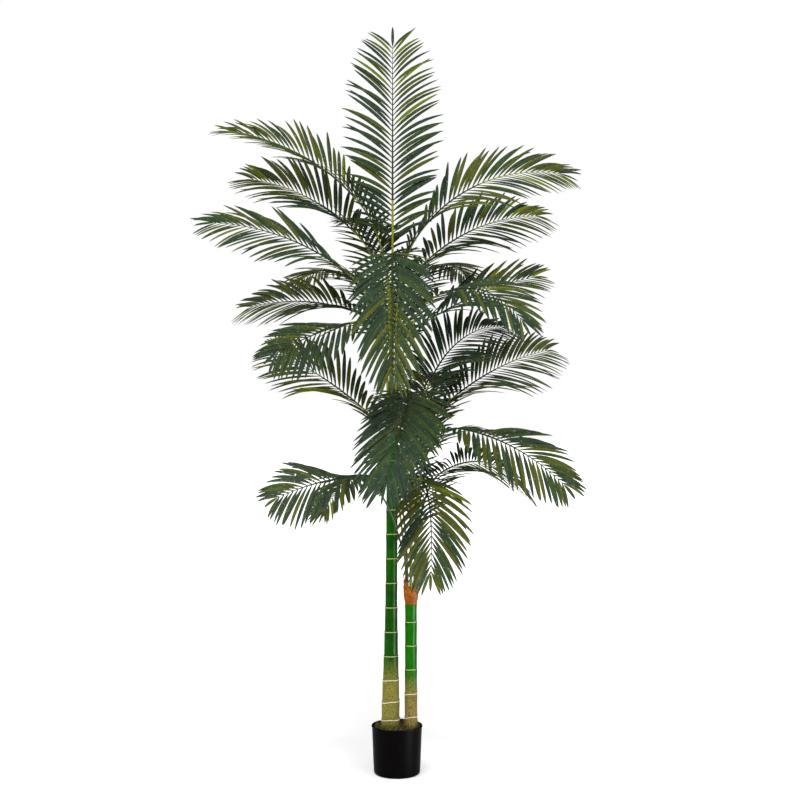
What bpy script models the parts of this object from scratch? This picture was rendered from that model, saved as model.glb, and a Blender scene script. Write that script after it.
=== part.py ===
"""Artificial golden cane palm in a plain black pot.

Two ringed canes stand in a weighted pot under a layer of moss. Each cane ends in a torn fibre sheath,
and long petioles rise out of it side by side, fan out and carry feather-shaped fronds. Units are metres,
+Z is up, +X is the viewer's right and -Y the front. The origin is the centre of the pot's underside.
"""

from dataclasses import dataclass
from math import cos, exp, pi, radians, sin

import bmesh
import bpy
from mathutils import Matrix, Vector
from mathutils.bvhtree import BVHTree

GAP = 0.0003  # clearance between neighbouring solids

# Pot, filling and moss
POT_SIDES = 32
POT_HEIGHT = 0.136
POT_RIM_RADIUS = 0.072
POT_BASE_RADIUS = 0.0655
POT_FOOT_RADIUS = 0.058
POT_WALL = 0.002
POT_LIP = 0.0012
POT_LIP_HEIGHT = 0.005
FILL_TOP = 0.112
MOSS_EDGE = 0.124
MOSS_CROWN = 0.127
MOSS_LUMP = 0.0015
MOSS_RINGS = 3
MOSS_WAVES = (150, 130)  # lumps along X and Y, in radians a metre
POT_ARC_STEPS = 3

# Canes
CANE_SIDES = 14
RING_STEP = 0.0015  # height of the ledge at a leaf scar
FLARE = 1.05  # how far an internode opens towards the ring above it
WAIST = 0.985

# Sheaths
SHEATH_SIDES = 20
SHEATH_HEIGHT = 0.066
SHEATH_FOOT_RADIUS = 0.0168
SHEATH_MOUTH_RADIUS = 0.02
SHEATH_WALL = 0.0016
SHEATH_FLOOR = 0.008
SHEATH_NOTCH = 0.014
SHEATH_WAIST = 0.2  # share of the height at which the sheath has nearly its full width
SHEATH_FLARE = 0.0004  # how far the mouth opens beyond the waist and the bore

# Fronds
PETIOLE_RADIUS = 0.0031
PETIOLE_END_RADIUS = 0.0027
PETIOLE_POINTS = 11
PETIOLE_CUFF = 0.005  # last straight stretch, square to the blade's foot
PETIOLE_STRAIGHTNESS = 4  # the petiole stays upright and bends mostly near its end
LEAN_LENGTH = 0.06  # stretch above the sheath over which a petiole starts to lean
PETIOLE_SPREAD = 0.6  # under 1, so that the petiole's points lie closer where it bends
ROLL_STRETCH = 1 / 3  # share of the blade over which it turns about its rib
INNER_RING = 0.0072
OUTER_RING = 0.0142
PAIRS = 12  # leaflets on each side of a blade
RIB_WIDTH = 0.0056
RIB_DEPTH = 0.0044
RIB_TAPER = 0.35
ROOT_LENGTH = 0.011  # what a leaflet takes up along the rib
LEAFLET_WIDTH = 0.021
LEAFLET_THICKNESS = 0.0019
LEAFLET_TAPER = 0.35  # how much narrower the last leaflets are
LEAFLET_WIDEST = 0.42  # place of the widest section along the leaflet
ROOT_ANGLE = 50  # degrees between leaflet and rib at the blade's foot
TIP_ANGLE = 24
SAG = 0.45  # how much the upper half hangs
LONGEST_AT = 0.45  # place of the longest leaflets along the blade
FOOT_LOSS = 0.2  # how much shorter the first and the last leaflets are
TIP_LOSS = 0.55
TRACE_STEP = 0.004
CLEARANCE = 0.0006  # round a leaflet, towards everything else
OWN_FOOT = 0.3  # share of a leaflet's lower half that may be close to its own rib

RIB_FACES = ((0, 1), (1, 2), (2, 0))  # top, right side, left side
ATTEMPTS = (  # extra lift in degrees and scale of a leaflet, tried in turn until it is clear
    (0, 1), (10, 1), (-10, 1), (20, 1), (-20, 1), (32, 1), (-32, 1),
    (0, 0.75), (15, 0.75), (-15, 0.75), (30, 0.75), (-30, 0.75),
)


@dataclass(frozen=True)
class Cane:
    """A ringed trunk: its foot, lean, height, radii and the spacing of its rings."""

    name: str
    foot: tuple
    lean: tuple  # sideways shift of the top
    top: float
    foot_radius: float
    top_radius: float
    flare_height: float  # how quickly the swollen foot narrows
    first_ring: float
    ring_spacing: float
    crowding: float  # share of its spacing that the second ring loses towards the ground
    crowding: float  # share of its spacing that the second ring loses towards the ground

    def radius(self, height):
        """Radius of the trunk's bare surface at a height above the ground."""
        rise = (height - FILL_TOP) / self.flare_height
        return self.top_radius + (self.foot_radius - self.top_radius) * exp(-rise * rise)

    def centre(self, height):
        """Point of the trunk's axis at a height above the ground."""
        share = (height - FILL_TOP) / (self.top - FILL_TOP)
        x, y = (self.foot[axis] + self.lean[axis] * share for axis in (0, 1))
        return Vector((x, y, height))

    def rings(self):
        """Heights of the leaf scars, closer together near the ground."""
        heights = []
        height = self.first_ring
        while height < self.top - 0.5 * self.ring_spacing:
            heights.append(height)
            height += self.ring_spacing * (1 - self.crowding * exp(1 - len(heights)))
        return heights


@dataclass(frozen=True)
class Frond:
    """One frond: where it heads, how it rises and droops, and how long it is."""

    name: str
    cane: str
    azimuth: float  # degrees from +X towards +Y
    rise: float  # elevation in degrees above the sheath
    crest: float  # elevation where the blade begins
    droop: float  # elevation at the blade's tip
    petiole: float
    blade: float
    sway: float = 0.0  # turn of the azimuth over the blade, in degrees
    roll: float = 0.0  # turn of the blade about its rib, in degrees
    lift: float = 6.0  # how far the leaflets stand above the blade's plane
    leaflet: float = 0.155
    inner: bool = False  # whether the petiole starts in the sheath's inner ring

    def heading(self, distance):
        """Azimuth and elevation in radians at a distance along the petiole and blade."""
        if distance < self.petiole:
            leaning = min(1.0, max(0.0, (distance - SHEATH_HEIGHT) / LEAN_LENGTH))
            bent = (distance / self.petiole) ** PETIOLE_STRAIGHTNESS
            elevation = 90 + (self.rise - 90) * leaning + (self.crest - self.rise) * bent
            return radians(self.azimuth), radians(elevation)
        share = (distance - self.petiole) / self.blade
        elevation = self.crest + (self.droop - self.crest) * share
        return radians(self.azimuth + self.sway * share), radians(elevation)


CANES = {
    "main": Cane("main", (-0.0185, -0.006), (0.006, 0.0), 0.978, 0.0255, 0.016, 0.25, 0.155, 0.069, 0.28),
    "small": Cane("small", (0.0395, 0.0), (0.0, 0.0), 0.478, 0.0176, 0.0166, 0.25, 0.16, 0.067, 0.0),
}

FRONDS = (
    Frond("top", "main", 90, 90, 90, 82, 0.58, 0.495, leaflet=0.17, lift=8, inner=True),
    Frond("left_1", "main", 165, 90, 50, 10, 0.64, 0.46, roll=-30, lift=30, leaflet=0.17, inner=True),
    Frond("left_2", "main", 154, 89, 45, 11, 0.55, 0.415, roll=-45, lift=30, leaflet=0.175),
    Frond("left_3", "main", 188, 84, 40, 2, 0.43, 0.425, roll=-52, leaflet=0.165),
    Frond("left_4", "main", 147, 84, 20, -10, 0.345, 0.41, roll=-50, lift=22, leaflet=0.175),
    Frond("left_5", "main", 218, 82, -12, -28, 0.345, 0.28, roll=-60, lift=-6, leaflet=0.145),
    Frond("right_1", "main", 10, 90, 56, -7, 0.54, 0.485, roll=55, lift=14, leaflet=0.175, inner=True),
    Frond("right_2", "main", 33, 89, 41, 4, 0.47, 0.465, roll=50, lift=14, leaflet=0.18),
    Frond("right_3", "main", 18, 77, 31, 13, 0.325, 0.345, roll=50, lift=18),
    Frond("right_4", "main", 318, 75, 25, -50, 0.385, 0.34, roll=30, leaflet=0.155),
    Frond("front_1", "main", 270, 89, -22, -70, 0.56, 0.45, leaflet=0.19, inner=True),
    Frond("back_1", "main", 128, 88, 42, -20, 0.37, 0.44),
    Frond("back_2", "main", 108, 89, 64, 0, 0.42, 0.42, leaflet=0.17, inner=True),
    Frond("back_3", "main", 62, 88, 48, -20, 0.37, 0.44, leaflet=0.17),
    Frond("low_left_1", "small", 146, 83, 35, 20, 0.58, 0.365, roll=-50, lift=20, leaflet=0.175),
    Frond("low_left_2", "small", 224, 70, 0, -18, 0.445, 0.27, roll=-70, leaflet=0.145),
    Frond("low_right_1", "small", 44, 89, 66, 0, 0.585, 0.41, roll=40, leaflet=0.18, inner=True),
    Frond("low_right_2", "small", 40, 88, 32, 10, 0.60, 0.435, roll=50, lift=14, leaflet=0.19),
    Frond("low_right_3", "small", 316, 89, -6, -36, 0.57, 0.385, roll=50),
    Frond("low_right_4", "small", 50, 81, 20, -38, 0.395, 0.46, roll=45, leaflet=0.17),
    Frond("low_front_1", "small", 269, 89, -10, -54, 0.69, 0.415, leaflet=0.19, sway=-20, inner=True),
    Frond("low_front_2", "small", 281, 87, -10, -64, 0.42, 0.38, leaflet=0.175, sway=-16),
    Frond("low_back_1", "small", 76, 89, 55, -20, 0.52, 0.44, leaflet=0.17, inner=True),
    Frond("low_back_2", "small", 98, 88, 25, -50, 0.42, 0.42),
    Frond("low_back_3", "small", 122, 86, 10, -45, 0.38, 0.42),
)


def clear_scene():
    """Remove every object, so that the script gives the same model each time."""
    for item in list(bpy.data.objects):
        bpy.data.objects.remove(item, do_unlink=True)


def material(name, colour, roughness):
    """A Principled material of one colour."""
    result = bpy.data.materials.new(name)
    result.use_nodes = True
    shader = result.node_tree.nodes["Principled BSDF"]
    shader.inputs["Base Color"].default_value = (*colour, 1)
    shader.inputs["Roughness"].default_value = roughness
    shader.inputs["Metallic"].default_value = 0
    result.diffuse_color = (*colour, 1)
    return result


def add_object(name, data, finish, parent):
    """Link an object with its material, parented to the empty that carries the plant."""
    item = bpy.data.objects.new(name, data)
    data.materials.append(finish)
    bpy.context.scene.collection.objects.link(item)
    item.parent = parent
    return item


def finish_mesh(bm, name):
    """Turn a bmesh into a mesh datablock with its faces pointing out."""
    bmesh.ops.recalc_face_normals(bm, faces=bm.faces)
    mesh = bpy.data.meshes.new(name)
    bm.to_mesh(mesh)
    bm.free()
    return mesh


def turned(profile, sides):
    """Spin (radius, height) points that start and end on the axis into a closed bmesh."""
    bm = bmesh.new()
    points = [bm.verts.new((radius, 0, height)) for radius, height in profile]
    edges = [bm.edges.new(pair) for pair in zip(points, points[1:])]
    bmesh.ops.spin(
        bm, geom=points + edges, cent=(0, 0, 0), axis=(0, 0, 1), angle=2 * pi, steps=sides
    )
    bmesh.ops.remove_doubles(bm, verts=bm.verts, dist=0.00005)
    return bm


def pot_outside(height):
    """Outer radius of the pot at a height."""
    return POT_BASE_RADIUS + (POT_RIM_RADIUS - POT_LIP - POT_BASE_RADIUS) * height / POT_HEIGHT


def pot_inside(height):
    """Inner radius of the pot at a height."""
    return pot_outside(height) - POT_WALL


def pot_mesh():
    """A thin tapered pot with a rounded foot and a small lip."""
    corner = POT_BASE_RADIUS - POT_FOOT_RADIUS
    turns = [step * pi / 2 / POT_ARC_STEPS for step in range(POT_ARC_STEPS + 1)]
    arc = [(POT_FOOT_RADIUS + corner * sin(turn), corner * (1 - cos(turn))) for turn in turns]
    lip_foot = POT_HEIGHT - POT_LIP_HEIGHT
    profile = [(0, 0), *arc]
    profile += [(pot_outside(lip_foot), lip_foot), (POT_RIM_RADIUS, lip_foot + POT_LIP)]
    profile += [(POT_RIM_RADIUS, POT_HEIGHT), (pot_inside(POT_HEIGHT), POT_HEIGHT)]
    profile += [(pot_inside(corner), corner), (POT_FOOT_RADIUS - POT_WALL, POT_WALL), (0, POT_WALL)]
    return finish_mesh(turned(profile, POT_SIDES), "pot")


def fill_mesh():
    """The weight that fills the pot up to the canes' feet."""
    floor = POT_WALL + GAP
    corner = POT_BASE_RADIUS - POT_FOOT_RADIUS
    profile = [(0, floor), (POT_FOOT_RADIUS - POT_WALL - GAP, floor)]
    profile += [(pot_inside(corner) - 2 * GAP, corner + GAP)]
    profile += [(pot_inside(FILL_TOP) - 2 * GAP, FILL_TOP), (0, FILL_TOP)]
    return finish_mesh(turned(profile, POT_SIDES), "fill")


def moss_mesh():
    """A low lumpy cushion over the weight."""
    foot = FILL_TOP + GAP
    edge = pot_inside(foot) - 2 * GAP
    profile = [(0, foot), (edge, foot), (edge, MOSS_EDGE)]
    for ring in range(1, MOSS_RINGS + 1):
        share = 1 - ring / MOSS_RINGS
        profile.append((edge * share, MOSS_EDGE + (MOSS_CROWN - MOSS_EDGE) * (1 - share * share)))
    bm = turned(profile, POT_SIDES)
    for vert in bm.verts:
        if vert.co.z > MOSS_EDGE - GAP:
            vert.co.z += MOSS_LUMP * sin(vert.co.x * MOSS_WAVES[0]) * cos(vert.co.y * MOSS_WAVES[1])
    return finish_mesh(bm, "moss")


def cane_mesh(cane):
    """A leaning trunk whose internodes open a little towards each leaf scar."""
    profile = [(0, FILL_TOP + GAP), (cane.radius(FILL_TOP), FILL_TOP + GAP)]
    for ring in cane.rings():
        profile.append((cane.radius(ring) * FLARE, ring))
        profile.append((cane.radius(ring) * WAIST, ring + RING_STEP))
    profile += [(cane.radius(cane.top) * FLARE, cane.top), (0, cane.top)]
    bm = turned(profile, CANE_SIDES)
    for vert in bm.verts:
        centre = cane.centre(vert.co.z)
        vert.co.x += centre.x
        vert.co.y += centre.y
    return finish_mesh(bm, f"cane_{cane.name}")


def moss_cutter(cane, parent):
    """A round post that clears the moss round a trunk's foot."""
    bm = bmesh.new()
    depth = 0.06
    radius = (cane.radius(FILL_TOP) + GAP) / cos(pi / CANE_SIDES) + GAP
    place = Matrix.Translation(cane.centre(MOSS_EDGE))
    bmesh.ops.create_cone(
        bm, cap_ends=True, segments=CANE_SIDES * 2, radius1=radius, radius2=radius, depth=depth, matrix=place
    )
    mesh = finish_mesh(bm, f"cut_{cane.name}")
    cutter = bpy.data.objects.new(f"cut_{cane.name}", mesh)
    bpy.context.scene.collection.objects.link(cutter)
    cutter.parent = parent
    cutter.hide_render = True
    cutter.display_type = "WIRE"
    return cutter


def sheath_mesh(cane):
    """A fibre cup round the petioles, with two notches torn in its mouth."""
    foot = cane.top + GAP
    mouth = foot + SHEATH_HEIGHT
    waist = foot + SHEATH_WAIST * SHEATH_HEIGHT
    bore = SHEATH_MOUTH_RADIUS - SHEATH_WALL - SHEATH_FLARE
    profile = [(0, foot), (SHEATH_FOOT_RADIUS, foot), (SHEATH_MOUTH_RADIUS - SHEATH_FLARE, waist)]
    profile += [(SHEATH_MOUTH_RADIUS, mouth), (SHEATH_MOUTH_RADIUS - SHEATH_WALL, mouth)]
    profile += [(bore, waist), (bore, foot + SHEATH_FLOOR), (0, foot + SHEATH_FLOOR)]
    bm = turned(profile, SHEATH_SIDES)
    centre = cane.centre(cane.top)
    for vert in bm.verts:
        if vert.co.z > mouth - GAP:
            side = vert.co.to_2d().normalized()
            vert.co.z -= SHEATH_NOTCH * (side.y * side.y) ** 2
        vert.co.x += centre.x
        vert.co.y += centre.y
    return finish_mesh(bm, f"sheath_{cane.name}")


def slots(cane_name):
    """Where each petiole of a cane starts: one in the middle, the others in two rings by azimuth."""
    places = {}
    centre = CANES[cane_name].centre(CANES[cane_name].top)
    height = CANES[cane_name].top + SHEATH_FLOOR + 2 * GAP
    members = [frond for frond in FRONDS if frond.cane == cane_name]
    middle = max(members, key=lambda frond: frond.crest)
    places[middle.name] = Vector((centre.x, centre.y, height))
    for inner, radius in ((True, INNER_RING), (False, OUTER_RING)):
        ring = [frond for frond in members if frond.inner == inner and frond != middle]
        ring.sort(key=lambda frond: frond.azimuth)
        spread = 360 / len(ring)
        offset = sum(frond.azimuth - index * spread for index, frond in enumerate(ring)) / len(ring)
        for index, frond in enumerate(ring):
            angle = radians(offset + index * spread)
            shift = Vector((radius * cos(angle), radius * sin(angle), 0))
            places[frond.name] = Vector((centre.x, centre.y, height)) + shift
    return places


@dataclass
class Station:
    """A point of a frond's midline with its travel, left and upper directions."""

    point: Vector
    along: Vector
    left: Vector
    up: Vector


def trace(frond, start, distances):
    """Follow the frond's heading from its start and give a station at each distance."""
    stations = []
    point = start.copy()
    travelled = 0.0
    for distance in distances:
        while travelled < distance - 1e-9:
            step = min(TRACE_STEP, distance - travelled)
            azimuth, elevation = frond.heading(travelled + step / 2)
            flat = Vector((cos(azimuth), sin(azimuth), 0))
            point = point + step * (flat * cos(elevation) + Vector((0, 0, sin(elevation))))
            travelled += step
        azimuth, elevation = frond.heading(distance)
        flat = Vector((cos(azimuth), sin(azimuth), 0))
        along = flat * cos(elevation) + Vector((0, 0, sin(elevation)))
        left = Vector((-sin(azimuth), cos(azimuth), 0))
        share = max(0.0, (distance - frond.petiole) / frond.blade)
        turn = Matrix.Rotation(radians(frond.roll) * min(1.0, share / ROLL_STRETCH), 3, along)
        left = turn @ left
        stations.append(Station(point.copy(), along, left, along.cross(left)))
    return stations


def blade_distances(frond):
    """Distances of the rib's sections: each leaflet's root and the bare stretch after it."""
    start = frond.petiole + 2 * GAP
    pitch = frond.blade / (PAIRS + 0.5)
    distances = []
    for pair in range(PAIRS):
        root = start + pitch * (pair + 0.5)
        distances += [root - ROOT_LENGTH / 2, root + ROOT_LENGTH / 2]
    return [start, *distances, frond.petiole + frond.blade]


def petiole_curve(frond, start):
    """A tapered petiole from the sheath's floor to the foot of the blade."""
    bends = PETIOLE_POINTS - 3
    free = frond.petiole - SHEATH_HEIGHT
    shares = [(index / bends) ** PETIOLE_SPREAD for index in range(bends + 1)]
    distances = [0, *(SHEATH_HEIGHT + free * share for share in shares)]
    distances.insert(-1, frond.petiole - PETIOLE_CUFF)
    curve = bpy.data.curves.new(f"petiole_{frond.name}", "CURVE")
    curve.dimensions = "3D"
    curve.bevel_depth = PETIOLE_RADIUS
    curve.bevel_resolution = 0
    curve.use_fill_caps = True
    spline = curve.splines.new("POLY")
    spline.points.add(PETIOLE_POINTS - 1)
    for index, station in enumerate(trace(frond, start, distances)):
        share = index / (PETIOLE_POINTS - 1)
        spline.points[index].co = (*station.point, 1)
        spline.points[index].radius = 1 + (PETIOLE_END_RADIUS / PETIOLE_RADIUS - 1) * share
    return curve


def leaflet_length(frond, share):
    """Leaflets are longest before the middle of the blade and short at its tip."""
    away = (share - LONGEST_AT) / (1 - LONGEST_AT) if share > LONGEST_AT else 1 - share / LONGEST_AT
    loss = TIP_LOSS if share > LONGEST_AT else FOOT_LOSS
    return frond.leaflet * (1 - loss * away * away)


def leaflet_directions(frond, station, side, share, extra_lift):
    """Headings of a leaflet's lower and upper half."""
    angle = radians(ROOT_ANGLE + (TIP_ANGLE - ROOT_ANGLE) * share)
    lift = radians(frond.lift + extra_lift)
    outward = side * station.left * cos(lift) + station.up * sin(lift)
    lower = (station.along * cos(angle) + outward * sin(angle)).normalized()
    return lower, (lower - Vector((0, 0, SAG))).normalized()


def leaflet_points(frond, root, station, side, share, extra_lift, shrink):
    """Corners of the leaflet's widest section, matched to its root's corners, and its tip."""
    lower, upper = leaflet_directions(frond, station, side, share, extra_lift)
    length = leaflet_length(frond, share) * shrink
    centre = sum(root, Vector()) / 4 + lower * length * LEAFLET_WIDEST
    tip = centre + upper * length * (1 - LEAFLET_WIDEST)
    width = LEAFLET_WIDTH * (1 - LEAFLET_TAPER * share) / 2
    across = (station.along - lower * station.along.dot(lower)).normalized()
    normal = across.cross(lower).normalized()
    if normal.dot(station.up) < 0:
        normal = -normal
    section = []
    for corner in root:
        offset = corner - sum(root, Vector()) / 4
        ahead = width if offset.dot(station.along) > 0 else -width
        above = LEAFLET_THICKNESS / 2 if offset.dot(station.up) > 0 else -LEAFLET_THICKNESS / 2
        section.append(centre + across * ahead + normal * above)
    return section, tip


class Space:
    """What is already taken, as search trees with their owners and bounds."""

    def __init__(self):
        self.taken = []

    @staticmethod
    def bounds(points):
        """Lowest and highest corner of some points."""
        low = [min(point[axis] for point in points) for axis in range(3)]
        high = [max(point[axis] for point in points) for axis in range(3)]
        return low, high

    def add(self, owner, points, faces):
        """Take the space of a shape that belongs to an owner."""
        self.taken.append((owner, *self.bounds(points), BVHTree.FromPolygons(points, faces)))

    def is_free(self, owner, points, faces):
        """Whether a shape meets nothing that is taken by anyone but its owner."""
        low, high = self.bounds(points)
        tree = BVHTree.FromPolygons(points, faces)
        for other_owner, other_low, other_high, other in self.taken:
            apart = any(high[axis] < other_low[axis] or low[axis] > other_high[axis] for axis in range(3))
            if not apart and other_owner != owner and tree.overlap(other):
                return False
        return True


def rib_corners(frond, station, share):
    """Three corners of the rib: left, right and the keel below."""
    scale = 1 - (1 - RIB_TAPER) * share
    half = station.left * RIB_WIDTH / 2 * scale
    keel = station.up * RIB_DEPTH * scale
    return [station.point + half, station.point - half, station.point - keel]


def leaflet_shape(root, section, tip, margin=0.0, cut=0.0):
    """A leaflet as points and faces for the clearance test, fattened by a margin and cut off at its foot."""
    middle = sum(section, Vector()) / 4
    fat = [corner + (corner - middle).normalized() * margin for corner in section]
    foot = [corner.lerp(target, cut) for corner, target in zip(root, fat)]
    points = [*foot, *fat, tip]
    faces = [(0, 1, 2), (0, 2, 3)]
    for index in range(4):
        after = (index + 1) % 4
        faces += [(index, after, 4 + after), (index, 4 + after, 4 + index), (4 + index, 4 + after, 8)]
    return points, faces


def add_leaflet(bm, face, section, tip):
    """Draw a leaflet out of a side face of the rib, through its widest section to its tip."""
    grown = bmesh.ops.extrude_discrete_faces(bm, faces=[face])["faces"][0]
    for loop, corner in zip(grown.loops, section):
        loop.vert.co = corner
    grown = bmesh.ops.extrude_discrete_faces(bm, faces=[grown])["faces"][0]
    bmesh.ops.pointmerge(bm, verts=list(grown.verts), merge_co=tip)


def blade_mesh(frond, start, space):
    """The rib as a tapered keel with a leaflet out of each root face, where there is room."""
    distances = blade_distances(frond)
    stations = trace(frond, start, distances)
    shares = [(distance - frond.petiole) / frond.blade for distance in distances]
    bm = bmesh.new()
    sections = []
    for station, share in zip(stations, shares):
        sections.append([bm.verts.new(corner) for corner in rib_corners(frond, station, share)])
    bm.faces.new(sections[0])
    bm.faces.new(reversed(sections[-1]))
    roots = []
    for index, (near, far) in enumerate(zip(sections, sections[1:])):
        for first, second in RIB_FACES:
            face = bm.faces.new((near[first], near[second], far[second], far[first]))
            if index % 2 and (first, second) != RIB_FACES[0]:
                side = -1 if (first, second) == RIB_FACES[1] else 1
                roots.append((index, side, face))
    own = Space()
    own.add("rib", *rib_shape(frond, start))
    for index, side, face in roots:
        station = stations[index]
        share = (shares[index] + shares[index + 1]) / 2
        root = [loop.vert.co.copy() for loop in face.loops]
        for extra_lift, shrink in ATTEMPTS:
            section, tip = leaflet_points(frond, root, station, side, share, extra_lift, shrink)
            outer = leaflet_shape(root, section, tip, CLEARANCE, OWN_FOOT)
            whole = leaflet_shape(root, section, tip, CLEARANCE)
            if own.is_free(None, *outer) and space.is_free(frond.name, *whole):
                own.add("leaflet", *outer)
                space.add(frond.name, *leaflet_shape(root, section, tip))
                add_leaflet(bm, face, section, tip)
                break
    return finish_mesh(bm, f"blade_{frond.name}")


def rib_shape(frond, start):
    """The rib without leaflets, as points and faces for the clearance test."""
    distances = blade_distances(frond)
    stations = trace(frond, start, distances)
    points = []
    faces = []
    for index, (station, distance) in enumerate(zip(stations, distances)):
        points += rib_corners(frond, station, (distance - frond.petiole) / frond.blade)
        if index:
            base = 3 * index
            faces += [(base + a - 3, base + b - 3, base + b, base + a) for a, b in RIB_FACES]
    return points, faces


def evaluated_shape(item):
    """An object's points and faces in world space, with its modifiers and bevels applied."""
    graph = bpy.context.evaluated_depsgraph_get()
    evaluated = item.evaluated_get(graph)
    mesh = evaluated.to_mesh()
    points = [item.matrix_world @ vert.co for vert in mesh.vertices]
    faces = [tuple(face.vertices) for face in mesh.polygons]
    evaluated.to_mesh_clear()
    return points, faces


def build_pot(parent):
    """Pot, weight and moss, with the moss cut clear of the canes."""
    black = material("pot_black", (0.012, 0.012, 0.013), 0.25)
    grey = material("fill_grey", (0.35, 0.34, 0.32), 0.9)
    olive = material("moss_olive", (0.16, 0.14, 0.05), 0.95)
    pot = add_object("pot", pot_mesh(), black, parent)
    pot.data.shade_smooth()
    pot.data.set_sharp_from_angle(angle=radians(35))
    add_object("fill", fill_mesh(), grey, parent)
    moss = add_object("moss", moss_mesh(), olive, parent)
    for cane in CANES.values():
        cut = moss.modifiers.new(f"clear_{cane.name}", "BOOLEAN")
        cut.object = moss_cutter(cane, parent)


def build_canes(parent, space):
    """Both canes with their sheaths."""
    green = material("cane_green", (0.05, 0.28, 0.03), 0.4)
    brown = material("sheath_brown", (0.42, 0.16, 0.04), 0.85)
    for cane in CANES.values():
        trunk = add_object(f"cane_{cane.name}", cane_mesh(cane), green, parent)
        trunk.data.shade_smooth()
        trunk.data.set_sharp_from_angle(angle=radians(35))
        sheath = add_object(f"sheath_{cane.name}", sheath_mesh(cane), brown, parent)
        for item in (trunk, sheath):
            space.add(item.name, *evaluated_shape(item))


def build_fronds(parent, space):
    """All petioles and ribs first, so that every leaflet can keep clear of them."""
    lime = material("petiole_lime", (0.36, 0.38, 0.03), 0.45)
    leaf = material("leaf_green", (0.05, 0.09, 0.05), 0.5)
    starts = {**slots("main"), **slots("small")}
    for frond in FRONDS:
        petiole = add_object(f"petiole_{frond.name}", petiole_curve(frond, starts[frond.name]), lime, parent)
        bpy.context.view_layer.update()
        space.add(petiole.name, *evaluated_shape(petiole))
        space.add(frond.name, *rib_shape(frond, starts[frond.name]))
    for frond in FRONDS:
        add_object(f"blade_{frond.name}", blade_mesh(frond, starts[frond.name], space), leaf, parent)


def main():
    """Build the whole palm under one empty."""
    clear_scene()
    plant = bpy.data.objects.new("plant", None)
    bpy.context.scene.collection.objects.link(plant)
    space = Space()
    build_pot(plant)
    build_canes(plant, space)
    build_fronds(plant, space)


if __name__ == "__main__":
    main()
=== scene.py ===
"""Artificial golden cane palm in a black pot: fronds, canes, sheaths, moss and studio."""

from __future__ import annotations

import logging
import random
from dataclasses import dataclass
from enum import Enum
from functools import cached_property
from math import cos, exp, pi, radians, sin, tau
from typing import Callable, Iterable, Mapping, Sequence

import bmesh
import bpy
import numpy as np
from bpy.types import ID, Material, Mesh, Node, NodeSocket, NodeTree, Object
from mathutils import Matrix, Vector, noise

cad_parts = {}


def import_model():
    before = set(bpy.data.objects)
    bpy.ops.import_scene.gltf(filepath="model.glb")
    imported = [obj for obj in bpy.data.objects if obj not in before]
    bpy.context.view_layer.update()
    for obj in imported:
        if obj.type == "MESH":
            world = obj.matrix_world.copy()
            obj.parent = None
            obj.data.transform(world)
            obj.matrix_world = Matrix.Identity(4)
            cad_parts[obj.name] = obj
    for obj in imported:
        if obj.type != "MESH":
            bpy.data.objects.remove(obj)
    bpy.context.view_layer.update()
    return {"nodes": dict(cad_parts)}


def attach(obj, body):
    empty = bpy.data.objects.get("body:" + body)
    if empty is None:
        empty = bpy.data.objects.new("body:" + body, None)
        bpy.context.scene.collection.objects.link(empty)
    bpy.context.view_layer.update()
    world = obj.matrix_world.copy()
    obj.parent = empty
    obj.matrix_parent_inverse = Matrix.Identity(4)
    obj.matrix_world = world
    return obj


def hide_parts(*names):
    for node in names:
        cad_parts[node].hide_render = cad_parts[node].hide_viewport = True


log = logging.getLogger("palm")

Colour = tuple[float, float, float]

FLOAT = "NodeSocketFloat"
GEOMETRY = "NodeSocketGeometry"
BODY = "root"
GAP = 0.0003

POT_HEIGHT = 0.136
POT_RIM_RADIUS = 0.072
POT_BASE_RADIUS = 0.0655
POT_FOOT_RADIUS = 0.058
POT_WALL = 0.002
POT_LIP = 0.0012
POT_LIP_HEIGHT = 0.005
FILL_TOP = 0.112
MOSS_EDGE = 0.127
MOSS_CROWN = 0.131

RING_STEP = 0.0015
FLARE = 1.05
WAIST = 0.985

SHEATH_HEIGHT = 0.066
SHEATH_FOOT_RADIUS = 0.0168
SHEATH_MOUTH_RADIUS = 0.02
SHEATH_WALL = 0.0016
SHEATH_FLOOR = 0.008

PETIOLE_RADIUS = 0.0033
PETIOLE_END_RADIUS = 0.0027
PETIOLE_STRAIGHTNESS = 4
LEAN_LENGTH = 0.06
ROLL_STRETCH = 1 / 3
INNER_RING = 0.0072
OUTER_RING = 0.0142
LEAFLET_WIDEST = 0.42
ROOT_ANGLE = 50
TIP_ANGLE = 24
SAG = 0.45
LONGEST_AT = 0.45
FOOT_LOSS = 0.2
TIP_LOSS = 0.55
EARLY_SHRINK = 0.7
TRACE_STEP = 0.004


class Tone(Enum):
    """Plain leaf colours that are dealt out over a frond's leaflets."""

    PINE = 0
    FOREST = 1
    OLIVE = 2
    LIME = 3


class Mood(Enum):
    """Shares of the four leaf tones on one frond, in the order of Tone."""

    DARK = (0.68, 0.26, 0.06, 0.0)
    MIXED = (0.45, 0.36, 0.18, 0.01)
    OLIVE = (0.22, 0.33, 0.41, 0.04)
    FRESH = (0.08, 0.27, 0.5, 0.15)


class Part(Enum):
    """Sides of a leaflet, as its faces are marked."""

    UPPER = 0
    UNDER = 1
    HEEL = 2


# ---------------------------------------------------------------- node wiring


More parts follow.
